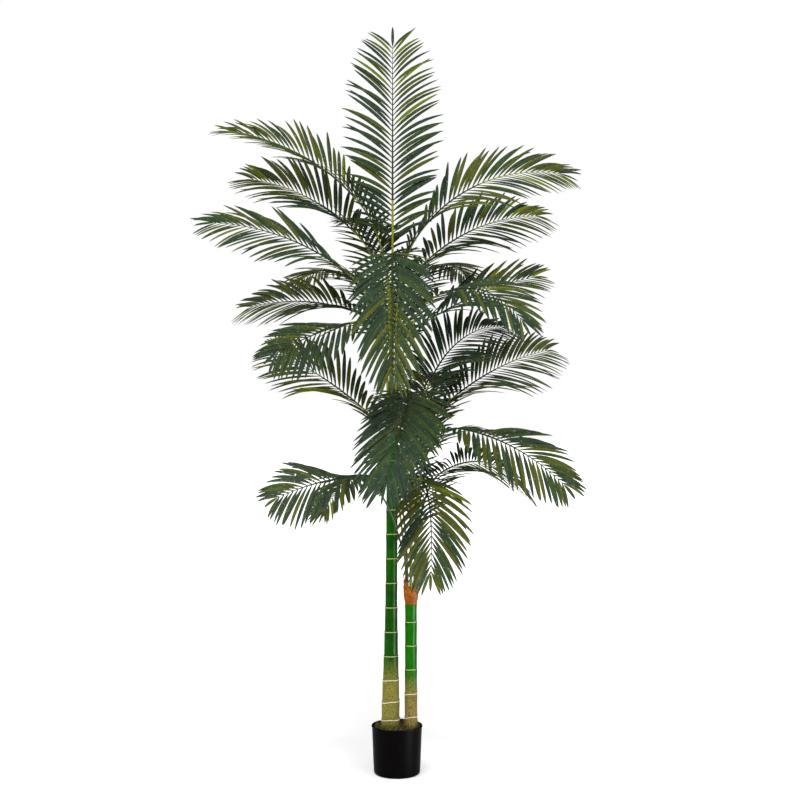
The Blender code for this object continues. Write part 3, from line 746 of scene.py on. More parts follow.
class Trees:
    """Geometry Nodes trees for leaflets, threads and rings."""

    BOW = {"Start": (0.0, -0.1), "Middle": (0.1, 0.55), "End": (0.45, 0.9)}
    THREAD_SCALE = (0.45, 1.2)

    def __init__(self, paints: Paints) -> None:
        """Build the trees with the palm's materials."""
        self.paints = paints
        self.leaflets = self._leaflets()
        self.threads = self._threads()
        self.rings = self._rings()

    @staticmethod
    def _named(wiring: Wiring, name: str, kind: str) -> NodeSocket:
        """Read a named attribute of a kind and return its value."""
        return wiring.out("GeometryNodeInputNamedAttribute", {"Name": name}, data_type=kind)

    @staticmethod
    def _compared(wiring: Wiring, operation: str, first: object, second: object) -> NodeSocket:
        """Compare two numbers, whole ones for EQUAL, and return the answer."""
        if operation == "EQUAL":
            return wiring.out("FunctionNodeCompare", {2: first, 3: second}, data_type="INT", operation=operation)
        return wiring.out("FunctionNodeCompare", {0: first, 1: second}, data_type="FLOAT", operation=operation)

    @staticmethod
    def _painted(wiring: Wiring, shape: object, material: object, chosen: object = None) -> NodeSocket:
        """Set the material of the chosen faces, or of all, and return the geometry."""
        inputs = {"Geometry": shape, "Material": material}
        if chosen is not None:
            inputs["Selection"] = chosen
        return wiring.out("GeometryNodeSetMaterial", inputs)

    @staticmethod
    def _tube(wiring: Wiring, curve: object, sides: int, radius: object) -> NodeSocket:
        """Give a curve a round skin, capped where it has ends, and return the geometry."""
        profile = wiring.out("GeometryNodeCurvePrimitiveCircle", {"Resolution": sides, "Radius": radius})
        inputs = {"Curve": curve, "Profile Curve": profile, "Fill Caps": True}
        return wiring.out("GeometryNodeCurveToMesh", inputs)

    def _leaflets(self) -> NodeTree:
        """Set a folded leaflet on each marked point, bend it and paint its sides."""
        wiring, given, result = new_group(
            "leaflets_on_ribs",
            "GeometryNodeTree",
            [("Points", GEOMETRY), ("Leaflet", "NodeSocketObject"), ("Width", FLOAT, 0.012),
             ("Fold", FLOAT, 1.0), ("Bend", FLOAT, 1.0)],
            [("Geometry", GEOMETRY)],
        )
        pattern = wiring.add("GeometryNodeObjectInfo", {0: given["Leaflet"]}, transform_space="ORIGINAL")
        width = wiring.times(given["Width"], self._named(wiring, "breadth", "FLOAT"))
        reach = self._named(wiring, "reach", "FLOAT")
        placed = wiring.out("GeometryNodeInstanceOnPoints", {
            "Points": given["Points"],
            "Instance": pattern.outputs["Geometry"],
            "Rotation": self._named(wiring, "facing", "QUATERNION"),
            "Scale": wiring.point(width, reach, wiring.times(width, given["Fold"])),
        })
        real = wiring.out("GeometryNodeRealizeInstances", {0: placed})
        along = self._named(wiring, "along", "FLOAT")
        share = wiring.times(wiring.times(along, along), given["Bend"])
        bend = {0: self._named(wiring, "bend", "FLOAT_VECTOR"), "Scale": share}
        shift = wiring.out("ShaderNodeVectorMath", bend, operation="SCALE")
        shape = wiring.out("GeometryNodeSetPosition", {"Geometry": real, "Offset": shift})
        tone = self._named(wiring, "tone", "INT")
        part = self._named(wiring, "part", "INT")
        under = self._compared(wiring, "EQUAL", part, Part.UNDER.value)
        for name in Tone:
            chosen = self._compared(wiring, "EQUAL", tone, name.value)
            shape = self._painted(wiring, shape, self.paints.upper[name], chosen)
            both = wiring.out("FunctionNodeBooleanMath", {0: chosen, 1: under}, operation="AND")
            shape = self._painted(wiring, shape, self.paints.under[name], both)
        heel = self._compared(wiring, "EQUAL", part, Part.HEEL.value)
        fresh = self._compared(wiring, "EQUAL", self._named(wiring, "fresh", "INT"), 1)
        both = wiring.out("FunctionNodeBooleanMath", {0: heel, 1: fresh}, operation="AND")
        wiring.feed(result.inputs[0], self._painted(wiring, shape, self.paints.heel, both))
        return wiring.tree

    def _threads(self) -> NodeTree:
        """Scatter short bent threads over the faces of a surface that look up enough."""
        wiring, given, result = new_group(
            "threads_on_surface",
            "GeometryNodeTree",
            [("Surface", GEOMETRY), ("Density", FLOAT, 1000.0), ("Length", FLOAT, 0.012),
             ("Thickness", FLOAT, 0.0004), ("Tilt", FLOAT, 1.0), ("Upward", FLOAT, 0.3), ("Seed", "NodeSocketInt", 1),
             ("Common", "NodeSocketMaterial"), ("Rare", "NodeSocketMaterial"), ("Share", FLOAT, 0.3),
             ("Reach", FLOAT, 10.0)],
            [("Geometry", GEOMETRY)],
        )
        seed = given["Seed"]
        level = wiring.parts(wiring.out("GeometryNodeInputNormal"))[2]
        spread = wiring.out("GeometryNodeDistributePointsOnFaces", {
            "Mesh": given["Surface"],
            "Selection": self._compared(wiring, "GREATER_THAN", level, given["Upward"]),
            "Density": given["Density"],
            "Seed": seed,
        })
        bow = {"Resolution": 4}
        for label, (side, rise) in self.BOW.items():
            bow[label] = wiring.point(wiring.times(given["Length"], side), 0.0, wiring.times(given["Length"], rise))
        thread = self._tube(wiring, wiring.out("GeometryNodeCurveQuadraticBezier", bow), 3, given["Thickness"])
        limits = {}
        for index, (sign, spin) in enumerate(((-1.0, 0.0), (1.0, tau))):
            tilt = wiring.times(given["Tilt"], sign)
            limits[index] = wiring.point(tilt, tilt, spin)
        turn = wiring.out("FunctionNodeRandomValue", limits | {"Seed": seed}, data_type="FLOAT_VECTOR")
        least, most = self.THREAD_SCALE
        scale = wiring.add("FunctionNodeRandomValue", {2: least, 3: most, "Seed": seed}, data_type="FLOAT")
        placed = wiring.out("GeometryNodeInstanceOnPoints", {
            "Points": spread, "Instance": thread, "Rotation": turn, "Scale": scale.outputs[1]})
        pick = wiring.add("FunctionNodeRandomValue", {"Seed": wiring.math("ADD", seed, 7.0)}, data_type="FLOAT")
        mark = {"Geometry": placed, "Name": "pick", "Value": pick.outputs[1]}
        marked = wiring.out("GeometryNodeStoreNamedAttribute", mark, data_type="FLOAT", domain="INSTANCE")
        real = wiring.out("GeometryNodeRealizeInstances", {0: marked})
        flat = wiring.vector("MULTIPLY", wiring.out("GeometryNodeInputPosition"), (1.0, 1.0, 0.0))
        away = wiring.add("ShaderNodeVectorMath", {0: flat}, operation="LENGTH").outputs["Value"]
        pull = wiring.math("DIVIDE", given["Reach"], wiring.math("MAXIMUM", away, 0.001))
        pull = wiring.math("MINIMUM", wiring.math("SUBTRACT", pull, 1.0), 0.0)
        drawn = wiring.out("ShaderNodeVectorMath", {0: flat, "Scale": pull}, operation="SCALE")
        inside = wiring.out("GeometryNodeSetPosition", {"Geometry": real, "Offset": drawn})
        common = self._painted(wiring, inside, given["Common"])
        chosen = self._compared(wiring, "LESS_THAN", self._named(wiring, "pick", "FLOAT"), given["Share"])
        wiring.feed(result.inputs[0], self._painted(wiring, common, given["Rare"], chosen))
        return wiring.tree

    def _rings(self) -> NodeTree:
        """Draw a bead along each closed path, in white or cream."""
        wiring, given, result = new_group(
            "beads_on_paths",
            "GeometryNodeTree",
            [("Paths", GEOMETRY), ("Bead", FLOAT, 0.001)],
            [("Geometry", GEOMETRY)],
        )
        curve = wiring.out("GeometryNodeMeshToCurve", {0: given["Paths"]})
        sized = {"Curve": curve, "Radius": self._named(wiring, "girth", "FLOAT")}
        tube = self._tube(wiring, wiring.out("GeometryNodeSetCurveRadius", sized), 8, given["Bead"])
        real = wiring.out("GeometryNodeRealizeInstances", {0: tube})
        shape = self._painted(wiring, real, self.paints.ring_cream)
        white = self._compared(wiring, "EQUAL", self._named(wiring, "white", "INT"), 1)
        wiring.feed(result.inputs[0], self._painted(wiring, shape, self.paints.ring_white, white))
        return wiring.tree


# ----------------------------------------------------------------- the plant


@dataclass(frozen=True)
class Pot:
    """The tapered pot, its rolled rim and the moss on its filling.

    Attributes:
        recess: Height of the hollow under the floor, with recess_edge as how far in it starts and ends.
        wall_shares: Shares of the wall's height at which its outline is drawn.
        crease: How far below the lip the wall ends.
        under_lip: Steps out and up round the lip's lower edge, and so over_lip and bore for its top.
        moss_lump: Height of the moss's lumps, with moss_grains as how close they lie.
        moss_skirt: Height of the moss's upright edge, and moss_inset how far its strands keep in.
    """

    STRANDS = {"Density": 110000.0, "Length": 0.014, "Thickness": 0.00055, "Tilt": 1.4, "Upward": 0.3, "Share": 0.22}

    sides: int = 96
    foot_steps: int = 8
    moss_rows: int = 22
    recess: float = 0.0012
    recess_edge: tuple[float, float] = (0.006, 0.004)
    wall_shares: tuple[float, ...] = (0.25, 0.5, 0.75, 0.97)
    crease: float = 0.0004
    under_lip: tuple[tuple[float, float], ...] = ((-0.0003, 0.0006), (0.0, 0.0014))
    over_lip: tuple[tuple[float, float], ...] = ((0.0, -0.0008), (-0.0004, -0.0002), (-0.001, 0.0))
    bore: tuple[tuple[float, float], ...] = ((0.0004, 0.0), (0.0, -0.0006))
    moss_lump: float = 0.0022
    moss_grains: tuple[float, float] = (90, 260)
    moss_skirt: float = 0.002
    moss_inset: float = 0.004
    seed: int = 11

    def outside(self, height: float) -> float:
        """Return the pot's outer radius at a height."""
        return POT_BASE_RADIUS + (POT_RIM_RADIUS - POT_LIP - POT_BASE_RADIUS) * height / POT_HEIGHT

    def shell(self) -> Mesh:
        """Return the thin wall with its rounded foot and rolled rim."""
        corner = POT_BASE_RADIUS - POT_FOOT_RADIUS
        turns = [step * pi / 2 / self.foot_steps for step in range(self.foot_steps + 1)]
        lip_foot = POT_HEIGHT - POT_LIP_HEIGHT
        inner, outer = self.recess_edge
        profile = [(0.0, self.recess), (POT_FOOT_RADIUS - inner, self.recess), (POT_FOOT_RADIUS - outer, 0.0)]
        profile += [(POT_FOOT_RADIUS + corner * sin(turn), corner * (1 - cos(turn))) for turn in turns]
        profile += [(self.outside(share * lip_foot), share * lip_foot) for share in self.wall_shares]
        profile += [(self.outside(lip_foot), lip_foot - self.crease)]
        profile += [(POT_RIM_RADIUS + out, lip_foot + up) for out, up in self.under_lip]
        profile += [(POT_RIM_RADIUS + out, POT_HEIGHT + up) for out, up in self.over_lip]
        inside = self.outside(POT_HEIGHT) - POT_WALL
        profile += [(inside + out, POT_HEIGHT + up) for out, up in self.bore]
        profile += [(self.outside(corner) - POT_WALL, corner), (POT_FOOT_RADIUS - POT_WALL, POT_WALL)]
        profile += [(0.0, POT_WALL)]
        mesh = lathe("pot_shell", profile, self.sides)
        smooth(mesh, 35)
        return mesh

    def bed(self) -> Mesh:
        """Return the lumpy cushion of moss inside the rim."""
        edge = self.outside(MOSS_EDGE) - POT_WALL - 2 * GAP
        foot = FILL_TOP + GAP
        profile = [(0.0, foot), (self.outside(foot) - POT_WALL - 2 * GAP, foot), (edge, MOSS_EDGE - self.moss_skirt)]
        for row in range(self.moss_rows):
            share = 1 - row / self.moss_rows
            profile.append((edge * share, MOSS_EDGE + (MOSS_CROWN - MOSS_EDGE) * (1 - share * share)))
        profile.append((0.0, MOSS_CROWN))

        coarse, fine = self.moss_grains

        def lumpy(radius: float, height: float, angle: float) -> Vector:
            """Lift the top by a rounded noise."""
            point = Vector((radius * cos(angle), radius * sin(angle), height))
            if height > MOSS_EDGE - self.moss_skirt / 2:
                lump = noise.noise(point * coarse) + 0.5 * noise.noise(point * fine)
                point.z += self.moss_lump * lump
            return point

        mesh = lathe("moss_bed", profile, self.sides, lumpy)
        smooth(mesh, 60)
        return mesh

    def build(self, paints: Paints, trees: Trees, nodes: dict[str, Object]) -> None:
        """Make the pot, dress the hidden weight and lay the moss.

        Args:
            paints: The palm's materials.
            trees: The geometry trees.
            nodes: The CAD nodes by name.
        """
        fit(add_piece("pot_shell", self.shell(), [paints.pot]), ["pot"])
        weight = nodes["fill"]
        weight.data.materials.clear()
        weight.data.materials.append(paints.weight)
        bed = add_piece("moss_bed", self.bed(), [paints.moss_dark])
        values = self.STRANDS | {"Seed": self.seed, "Common": paints.moss_olive, "Rare": paints.moss_straw}
        values["Reach"] = self.outside(POT_HEIGHT) - POT_WALL - self.moss_inset
        strands = grown(bed, trees.threads, "moss_strands", values)
        fit(bed, ["moss"])
        fit(add_piece("moss_strands", strands))


@dataclass(frozen=True)
class Cane:
    """A leaning, flaring trunk with leaf scars, as the source's cane.

    Attributes:
        foot: Where the axis starts, and lean how far it moves to the side on the way to the top.
        first_ring: Height of the lowest leaf scar, with ring_spacing between those far above.
        crowding: How much nearer the lowest scars are to each other.
        white_below: Height under which the scars are white and wild, and above it cream and calm.
        steps: Shares of an internode at which its outline is drawn.
        belly: How far an internode swells, as a share of the radius.
        scar: Half the height of a scar's edge.
        neck: How much wider and higher than the plain waist the bark is above a scar.
        lump: Depth of the bark's lumps, with lump_grains as how close they lie round and up.
        wild: How far the white and the cream scars wave up and down, each by a share in calm.
        veer: How far a wave's heading turns from the front, and ripple the share of small waves.
        girth: How thick the beads of the white and the cream scars are, as a multiple of bead.
        sunk: How deep a bead sits in the bark.
    """

    name: str
    foot: tuple[float, float]
    lean: tuple[float, float]
    top: float
    foot_radius: float
    top_radius: float
    flare_height: float
    first_ring: float
    ring_spacing: float
    crowding: float
    seed: int
    white_below: float = 0.29
    sides: int = 72
    steps: tuple[float, ...] = (0.06, 0.14, 0.26, 0.4, 0.55, 0.7, 0.82, 0.91, 0.97, 1.0)
    belly: float = 0.012
    scar: float = 0.0008
    neck: tuple[float, float] = (0.01, 0.0006)
    cap: float = 0.9
    lump: float = 0.0004
    lump_grains: tuple[float, float] = (2.2, 34)
    wild: tuple[float, float] = (0.0034, 0.0006)
    calm: tuple[float, float] = (0.5, 1.0)
    veer: float = 0.9
    ripple: float = 0.4
    girth: tuple[float, float] = (1.45, 1.05)
    girth_play: tuple[float, float] = (0.85, 1.2)
    bead: float = 0.0011
    sunk: float = 0.0004

    def radius(self, height: float) -> float:
        """Return the plain radius at a height."""
        swell = exp(-(((height - FILL_TOP) / self.flare_height) ** 2))
        return self.top_radius + (self.foot_radius - self.top_radius) * swell

    def centre(self, height: float) -> Vector:
        """Return the axis at a height."""
        share = (height - FILL_TOP) / (self.top - FILL_TOP)
        return Vector((self.foot[0] + self.lean[0] * share, self.foot[1] + self.lean[1] * share, 0))

    @cached_property
    def rings(self) -> list[float]:
        """Heights of the leaf scars."""
        heights: list[float] = []
        height = self.first_ring
        while height < self.top - 0.5 * self.ring_spacing:
            heights.append(height)
            height += self.ring_spacing * (1 - self.crowding * exp(1 - len(heights)))
        return heights

    @cached_property
    def waves(self) -> list[tuple[float, float, float]]:
        """Tilt, its heading and ripple of each ring, wilder near the foot."""
        chance = random.Random(self.seed)
        rows = []
        for height in self.rings:
            wild = self.wild[height >= self.white_below]
            tilt = chance.uniform(*self.calm) * wild
            rows.append((tilt, chance.uniform(-self.veer, self.veer), wild * self.ripple))
        return rows

    def wave(self, height: float, angle: float) -> float:
        """Return how far the surface is shifted up at a height and angle."""
        still = (0.0, 0.0, 0.0)
        knots = [FILL_TOP, *self.rings, self.top]
        rows = [still, *self.waves, still]
        for index in range(len(knots) - 1):
            if height <= knots[index + 1] + 1e-9:
                share = (height - knots[index]) / (knots[index + 1] - knots[index])
                low, high = (
                    tilt * cos(angle - way) + ripple * sin(3 * angle + way)
                    for tilt, way, ripple in rows[index:index + 2]
                )
                return low + (high - low) * max(0.0, min(1.0, share))
        return 0.0

    def surface(self, radius: float, height: float, angle: float) -> Vector:
        """Return a point of the bark with its lean, waves and slight lumps."""
        heading = Vector((cos(angle), sin(angle), 0))
        around, upward = self.lump_grains
        spot = Vector((heading.x * around, heading.y * around, height * upward))
        lump = noise.noise(spot + Vector((self.seed, 0, 0)))
        if radius > 0:
            radius += self.lump * lump
        point = self.centre(height) + heading * radius
        point.z = height + (self.wave(height, angle) if radius > 0 else 0.0)
        return point

    def bark(self) -> Mesh:
        """Return the trunk: each internode narrows above its scar and opens to the next."""
        foot = FILL_TOP + GAP
        profile = [(0.0, foot), (self.radius(foot), foot)]
        knots = [foot, *self.rings, self.top]
        for low, high in zip(knots, knots[1:]):
            for share in self.steps:
                height = low + (high - low) * share
                open_up = WAIST + (FLARE - WAIST) * share ** 3 + self.belly * sin(pi * share)
                profile.append((self.radius(height) * open_up, height - (self.scar if share == 1.0 else 0.0)))
            if high < self.top:
                profile.append((self.radius(high) * FLARE, high + self.scar))
                wider, higher = self.neck
                profile.append((self.radius(high) * (WAIST + wider), high + RING_STEP + higher))
        profile += [(self.radius(self.top) * self.cap, self.top), (0.0, self.top)]
        mesh = lathe(f"bark_{self.name}", profile, self.sides, self.surface)
        smooth(mesh, 50)
        return mesh

    def ring_paths(self) -> Object:
        """Return an object whose closed edge loops follow the leaf scars."""
        points, edges, girth, white = [], [], [], []
        chance = random.Random(self.seed + 5)
        for height in self.rings:
            start = len(points)
            pale = height < self.white_below
            for side in range(self.sides):
                angle = tau * side / self.sides
                radius = self.radius(height) * FLARE - self.sunk
                points.append(self.surface(radius, height, angle))
                edges.append((start + side, start + (side + 1) % self.sides))
                girth.append(self.girth[not pale] * chance.uniform(*self.girth_play))
                white.append(int(pale))
        mesh = bpy.data.meshes.new("ring_paths")
        mesh.from_pydata(points, edges, [])
        mark(mesh, "girth", "FLOAT", girth)
        mark(mesh, "white", "INT", white)
        return add_piece("ring_paths", mesh)

    def build(self, paint: Material, trees: Trees) -> None:
        """Make the trunk and the beads of its leaf scars.

        Args:
            paint: The trunk's material.
            trees: The geometry trees.
        """
        fit(add_piece(f"bark_{self.name}", self.bark(), [paint]), [f"cane_{self.name}"])
        paths = self.ring_paths()
        beads = grown(paths, trees.rings, f"scars_{self.name}", {"Bead": self.bead})
        discard(paths)
        smooth(beads, 70)
        fit(add_piece(f"scars_{self.name}", beads))


@dataclass(frozen=True)
class Sheath:
    """The fibre husk round the petioles at a cane's top, torn in a V before and behind.

    Attributes:
        floor_share: Share of the height up to which the cup is solid, about its floor.
        opening: Share of the height in which it widens from the cane to the mouth.
        notch: Depth of each tear, and notch_angle half its width in degrees.
        tears: Headings of the tears.
        streak: Depth of the fine streaks, swell that of the broad lumps and rag that of the rim.
    """

    FIBRES = {"Density": 26000.0, "Length": 0.016, "Thickness": 0.00028, "Tilt": 0.16, "Upward": -0.6, "Share": 0.4}

    cane: Cane
    seed: int
    dry: bool = False
    sides: int = 80
    rows: int = 18
    floor_share: float = 0.13
    opening: float = 0.35
    notch: float = 0.033
    notch_angle: float = 40.0
    tears: tuple[float, float] = (-0.5 * pi + 0.08, 0.5 * pi)
    streak: float = 0.0007
    swell: float = 0.0009
    rag: float = 0.0016

    def husk(self) -> Mesh:
        """Return the closed cup with its streaked, torn wall."""
        foot = self.cane.top + GAP
        centre = self.cane.centre(self.cane.top)
        shares = [row / self.rows for row in range(self.rows + 1)]
        outer = [(self.width(share), foot + share * SHEATH_HEIGHT) for share in shares]
        walls = zip(shares, outer)
        inner = [(width - SHEATH_WALL, height) for share, (width, height) in walls if share > self.floor_share]
        profile = [(0.0, foot), *outer, *reversed(inner), (0.0, foot + SHEATH_FLOOR)]

        def torn(radius: float, height: float, angle: float) -> Vector:
            """Pull the wall down into the notches and give it streaks."""
            share = (height - foot) / SHEATH_HEIGHT
            heading = Vector((cos(angle), sin(angle), 0))
            level = foot + share * self.mouth(angle) if radius > 0 else height
            streak = noise.noise(Vector((heading.x * 9, heading.y * 9, share * 2 + self.seed)))
            swell = noise.noise(Vector((heading.x * 2, heading.y * 2, share * 3 + self.seed)))
            if radius > 0:
                radius += self.streak * streak + self.swell * swell * share
            return centre + heading * radius + Vector((0, 0, level))

        mesh = lathe(f"husk_{self.cane.name}", profile, self.sides, torn)
        smooth(mesh, 55)
        return mesh

    def width(self, share: float) -> float:
        """Return the outer radius at a share of the height."""
        ease = min(1.0, share / self.opening)
        ease = ease * ease * (3 - 2 * ease)
        return SHEATH_FOOT_RADIUS + (SHEATH_MOUTH_RADIUS - SHEATH_FOOT_RADIUS) * ease + 0.0008 * share

    def mouth(self, angle: float) -> float:
        """Return the height of the wall at an angle, less where it is torn."""
        height = SHEATH_HEIGHT
        for way in self.tears:
            away = abs((angle - way + pi) % tau - pi)
            height = min(height, SHEATH_HEIGHT - self.notch * max(0.0, 1 - away / radians(self.notch_angle)))
        ragged = self.rag * noise.noise(Vector((cos(angle) * 7, sin(angle) * 7, self.seed)))
        return height + min(0.0, ragged)

    def build(self, paints: Paints, trees: Trees) -> None:
        """Make the husk and the loose fibres on it."""
        husk = paints.husk_dry if self.dry else paints.husk
        piece = add_piece(f"husk_{self.cane.name}", self.husk(), [husk])
        thread = husk if self.dry else paints.husk_thread
        values = self.FIBRES | {"Seed": self.seed, "Common": thread, "Rare": husk}
        threads = grown(piece, trees.threads, f"husk_fibres_{self.cane.name}", values)
        fit(piece, [f"sheath_{self.cane.name}"])
        fit(add_piece(f"husk_fibres_{self.cane.name}", threads))


@dataclass
class Station:
    """A point of a frond's midline with its travel, left and upper directions."""

    point: Vector
    along: Vector
    left: Vector
    up: Vector
    distance: float = 0.0


@dataclass(frozen=True)
class Frond:
    """One frond: a petiole that rises and bends, then an arching blade of leaflets.

    Attributes:
        azimuth: Heading in degrees, with rise, crest and droop as the elevations along it.
        petiole: Length of the bare stalk, and blade that of the rib with leaflets.
        sway: Sideways turn along the blade, roll its turn about itself, lift that of its leaflets.
        inner: Whether it stands in the inner ring of the sheath.
        mood: Leaf tones at the foot, and tip those at the tip.
        fresh: Share of leaflets with a pale heel.
        early: Pairs of small leaflets on the petiole's end.
        dense: How many more pairs the blade has than the pitch gives.
    """

    name: str
    cane: str
    azimuth: float
    rise: float
    crest: float
    droop: float
    petiole: float
    blade: float
    sway: float = 0.0
    roll: float = 0.0
    lift: float = 6.0
    leaflet: float = 0.155
    inner: bool = False
    mood: Mood = Mood.MIXED
    tip: Mood = Mood.OLIVE
    fresh: float = 0.0
    early: int = 3
    dense: float = 1.0
    tip_loss: float = TIP_LOSS
    tip_angle: float = TIP_ANGLE
    # Whether the whole stalk takes the dark rib colour as painted shade, deep in the crown.
    painted_shade_stalk: bool = False

    def heading(self, distance: float) -> tuple[float, float]:
        """Return azimuth and elevation in radians at a distance from the foot."""
        if distance < self.petiole:
            leaning = min(1.0, max(0.0, (distance - SHEATH_HEIGHT) / LEAN_LENGTH))
            bent = (distance / self.petiole) ** PETIOLE_STRAIGHTNESS
            elevation = 90 + (self.rise - 90) * leaning + (self.crest - self.rise) * bent
            return radians(self.azimuth), radians(elevation)
        share = (distance - self.petiole) / self.blade
        elevation = self.crest + (self.droop - self.crest) * share
        return radians(self.azimuth + self.sway * share), radians(elevation)

    def trace(self, start: Vector, distances: Sequence[float]) -> list[Station]:
        """Follow the heading from the start and give a station at each distance.

        Args:
            start: Foot of the petiole.
            distances: Rising distances along the frond.

        Returns:
            A station for each distance.
        """
        def way(azimuth: float, elevation: float) -> Vector:
            """Return the direction of a heading."""
            return Vector((cos(azimuth), sin(azimuth), 0)) * cos(elevation) + Vector((0, 0, sin(elevation)))

        stations = []
        point = start.copy()
        travelled = 0.0
        for distance in distances:
            while travelled < distance - 1e-9:
                step = min(TRACE_STEP, distance - travelled)
                point = point + step * way(*self.heading(travelled + step / 2))
                travelled += step
            azimuth, elevation = self.heading(distance)
            along = way(azimuth, elevation)
            left = Vector((-sin(azimuth), cos(azimuth), 0))
            share = max(0.0, (distance - self.petiole) / self.blade)
            turn = Matrix.Rotation(radians(self.roll) * min(1.0, share / ROLL_STRETCH), 3, along)
            left = turn @ left
            stations.append(Station(point.copy(), along, left, along.cross(left), distance))
        return stations

    def leaflet_length(self, share: float) -> float:
        """Return a leaflet's length at a share of the blade; under 0 it sits on the petiole."""
        if share < 0:
            return self.leaflet * (1 - FOOT_LOSS) * (1 + EARLY_SHRINK * share)
        away = (share - LONGEST_AT) / (1 - LONGEST_AT) if share > LONGEST_AT else 1 - share / LONGEST_AT
        loss = self.tip_loss if share > LONGEST_AT else FOOT_LOSS
        return self.leaflet * (1 - loss * away * away)


MAIN = Cane("main", (-0.0185, -0.006), (0.006, 0.0), 0.978, 0.0255, 0.016, 0.25, 0.155, 0.069, 0.28, 21)
SMALL = Cane("small", (0.0395, 0.0), (0.0, 0.0), 0.478, 0.0176, 0.0166, 0.25, 0.16, 0.067, 0.0, 34, 0.24)

FRONDS = (
    Frond("top", "main", 90, 90, 90, 82, 0.58, 0.495, leaflet=0.17, lift=8, inner=True, mood=Mood.DARK,
          tip=Mood.OLIVE, early=4, dense=1.08, tip_loss=0.5, tip_angle=34),
    Frond("left_1", "main", 165, 90, 50, 10, 0.64, 0.46, roll=-30, lift=30, leaflet=0.17, inner=True,
          tip=Mood.FRESH, early=10),
    Frond("left_2", "main", 154, 89, 45, 11, 0.55, 0.415, roll=-45, lift=30, leaflet=0.175, mood=Mood.DARK,
          tip=Mood.FRESH, early=9),
    Frond("left_3", "main", 188, 84, 40, 2, 0.43, 0.425, roll=-52, leaflet=0.165, mood=Mood.DARK, early=8),
    Frond("left_4", "main", 147, 84, 20, -10, 0.345, 0.41, roll=-50, lift=22, leaflet=0.175, early=5),
    Frond("left_5", "main", 218, 82, -12, -28, 0.345, 0.28, roll=-60, lift=-6, leaflet=0.145, mood=Mood.DARK,
          tip=Mood.MIXED, early=6),
    Frond("right_1", "main", 10, 90, 56, -7, 0.54, 0.485, roll=55, lift=14, leaflet=0.175, inner=True,
          tip=Mood.FRESH, early=9),
    Frond("right_2", "main", 33, 89, 41, 4, 0.47, 0.465, roll=50, lift=14, leaflet=0.18, mood=Mood.DARK,
          tip=Mood.FRESH, early=8),
    Frond("right_3", "main", 18, 77, 31, 13, 0.325, 0.345, roll=50, lift=18, mood=Mood.DARK, early=5),
    Frond("right_4", "main", 318, 75, 25, -50, 0.385, 0.34, roll=30, leaflet=0.155, mood=Mood.DARK),
    Frond("front_1", "main", 270, 89, -22, -70, 0.56, 0.45, leaflet=0.19, inner=True, mood=Mood.DARK,
          tip=Mood.MIXED, fresh=0.28, early=4, painted_shade_stalk=True),
    Frond("back_1", "main", 128, 88, 42, -20, 0.37, 0.44, mood=Mood.DARK, early=9),
    Frond("back_2", "main", 108, 89, 64, 0, 0.42, 0.42, leaflet=0.17, inner=True, mood=Mood.DARK, tip=Mood.DARK,
          early=12),
    Frond("back_3", "main", 62, 88, 48, -20, 0.37, 0.44, leaflet=0.17, mood=Mood.DARK, tip=Mood.DARK, early=10),
    Frond("low_left_1", "small", 146, 83, 35, 20, 0.58, 0.365, roll=-50, lift=20, leaflet=0.175,
          mood=Mood.FRESH, tip=Mood.FRESH, early=5),
    Frond("low_left_2", "small", 224, 70, 0, -18, 0.445, 0.27, roll=-70, leaflet=0.145, early=5,
          painted_shade_stalk=True),
    Frond("low_right_1", "small", 44, 89, 66, 0, 0.585, 0.41, roll=40, leaflet=0.18, inner=True, mood=Mood.DARK,
          tip=Mood.DARK, early=14, dense=1.2),
    Frond("low_right_2", "small", 40, 88, 32, 10, 0.60, 0.435, roll=50, lift=14, leaflet=0.19, mood=Mood.OLIVE,
          tip=Mood.FRESH, early=10),
    Frond("low_right_3", "small", 316, 89, -6, -36, 0.57, 0.385, roll=50, early=9, painted_shade_stalk=True),
    Frond("low_right_4", "small", 50, 81, 20, -38, 0.395, 0.46, roll=45, leaflet=0.17, mood=Mood.MIXED,
          early=13, dense=1.2, painted_shade_stalk=True),
    Frond("low_front_1", "small", 269, 89, -10, -54, 0.69, 0.415, leaflet=0.19, sway=-20, inner=True,
          mood=Mood.DARK, tip=Mood.DARK, early=18, dense=1.25, painted_shade_stalk=True),
    Frond("low_front_2", "small", 281, 87, -10, -64, 0.42, 0.38, leaflet=0.175, sway=-16, mood=Mood.OLIVE,
          fresh=0.3, tip_loss=0.65),
    Frond("low_back_1", "small", 76, 89, 55, -20, 0.52, 0.44, leaflet=0.17, inner=True, mood=Mood.DARK,
          tip=Mood.DARK, early=7),
    Frond("low_back_2", "small", 98, 88, 25, -50, 0.42, 0.42, mood=Mood.DARK, early=8),
    Frond("low_back_3", "small", 122, 86, 10, -45, 0.38, 0.42),
)


GROUPS = {
    "top": ("top", "front_1"),
    "back": ("back_1", "back_2", "back_3"),
    "left": ("left_1", "left_2", "left_3", "left_4", "left_5"),
    "right": ("right_1", "right_2", "right_3", "right_4"),
    "low_left": ("low_left_1", "low_left_2", "low_front_1"),
    "low_right": ("low_right_1", "low_right_2", "low_right_3", "low_right_4", "low_front_2"),
    "low_back": ("low_back_1", "low_back_2", "low_back_3"),
}


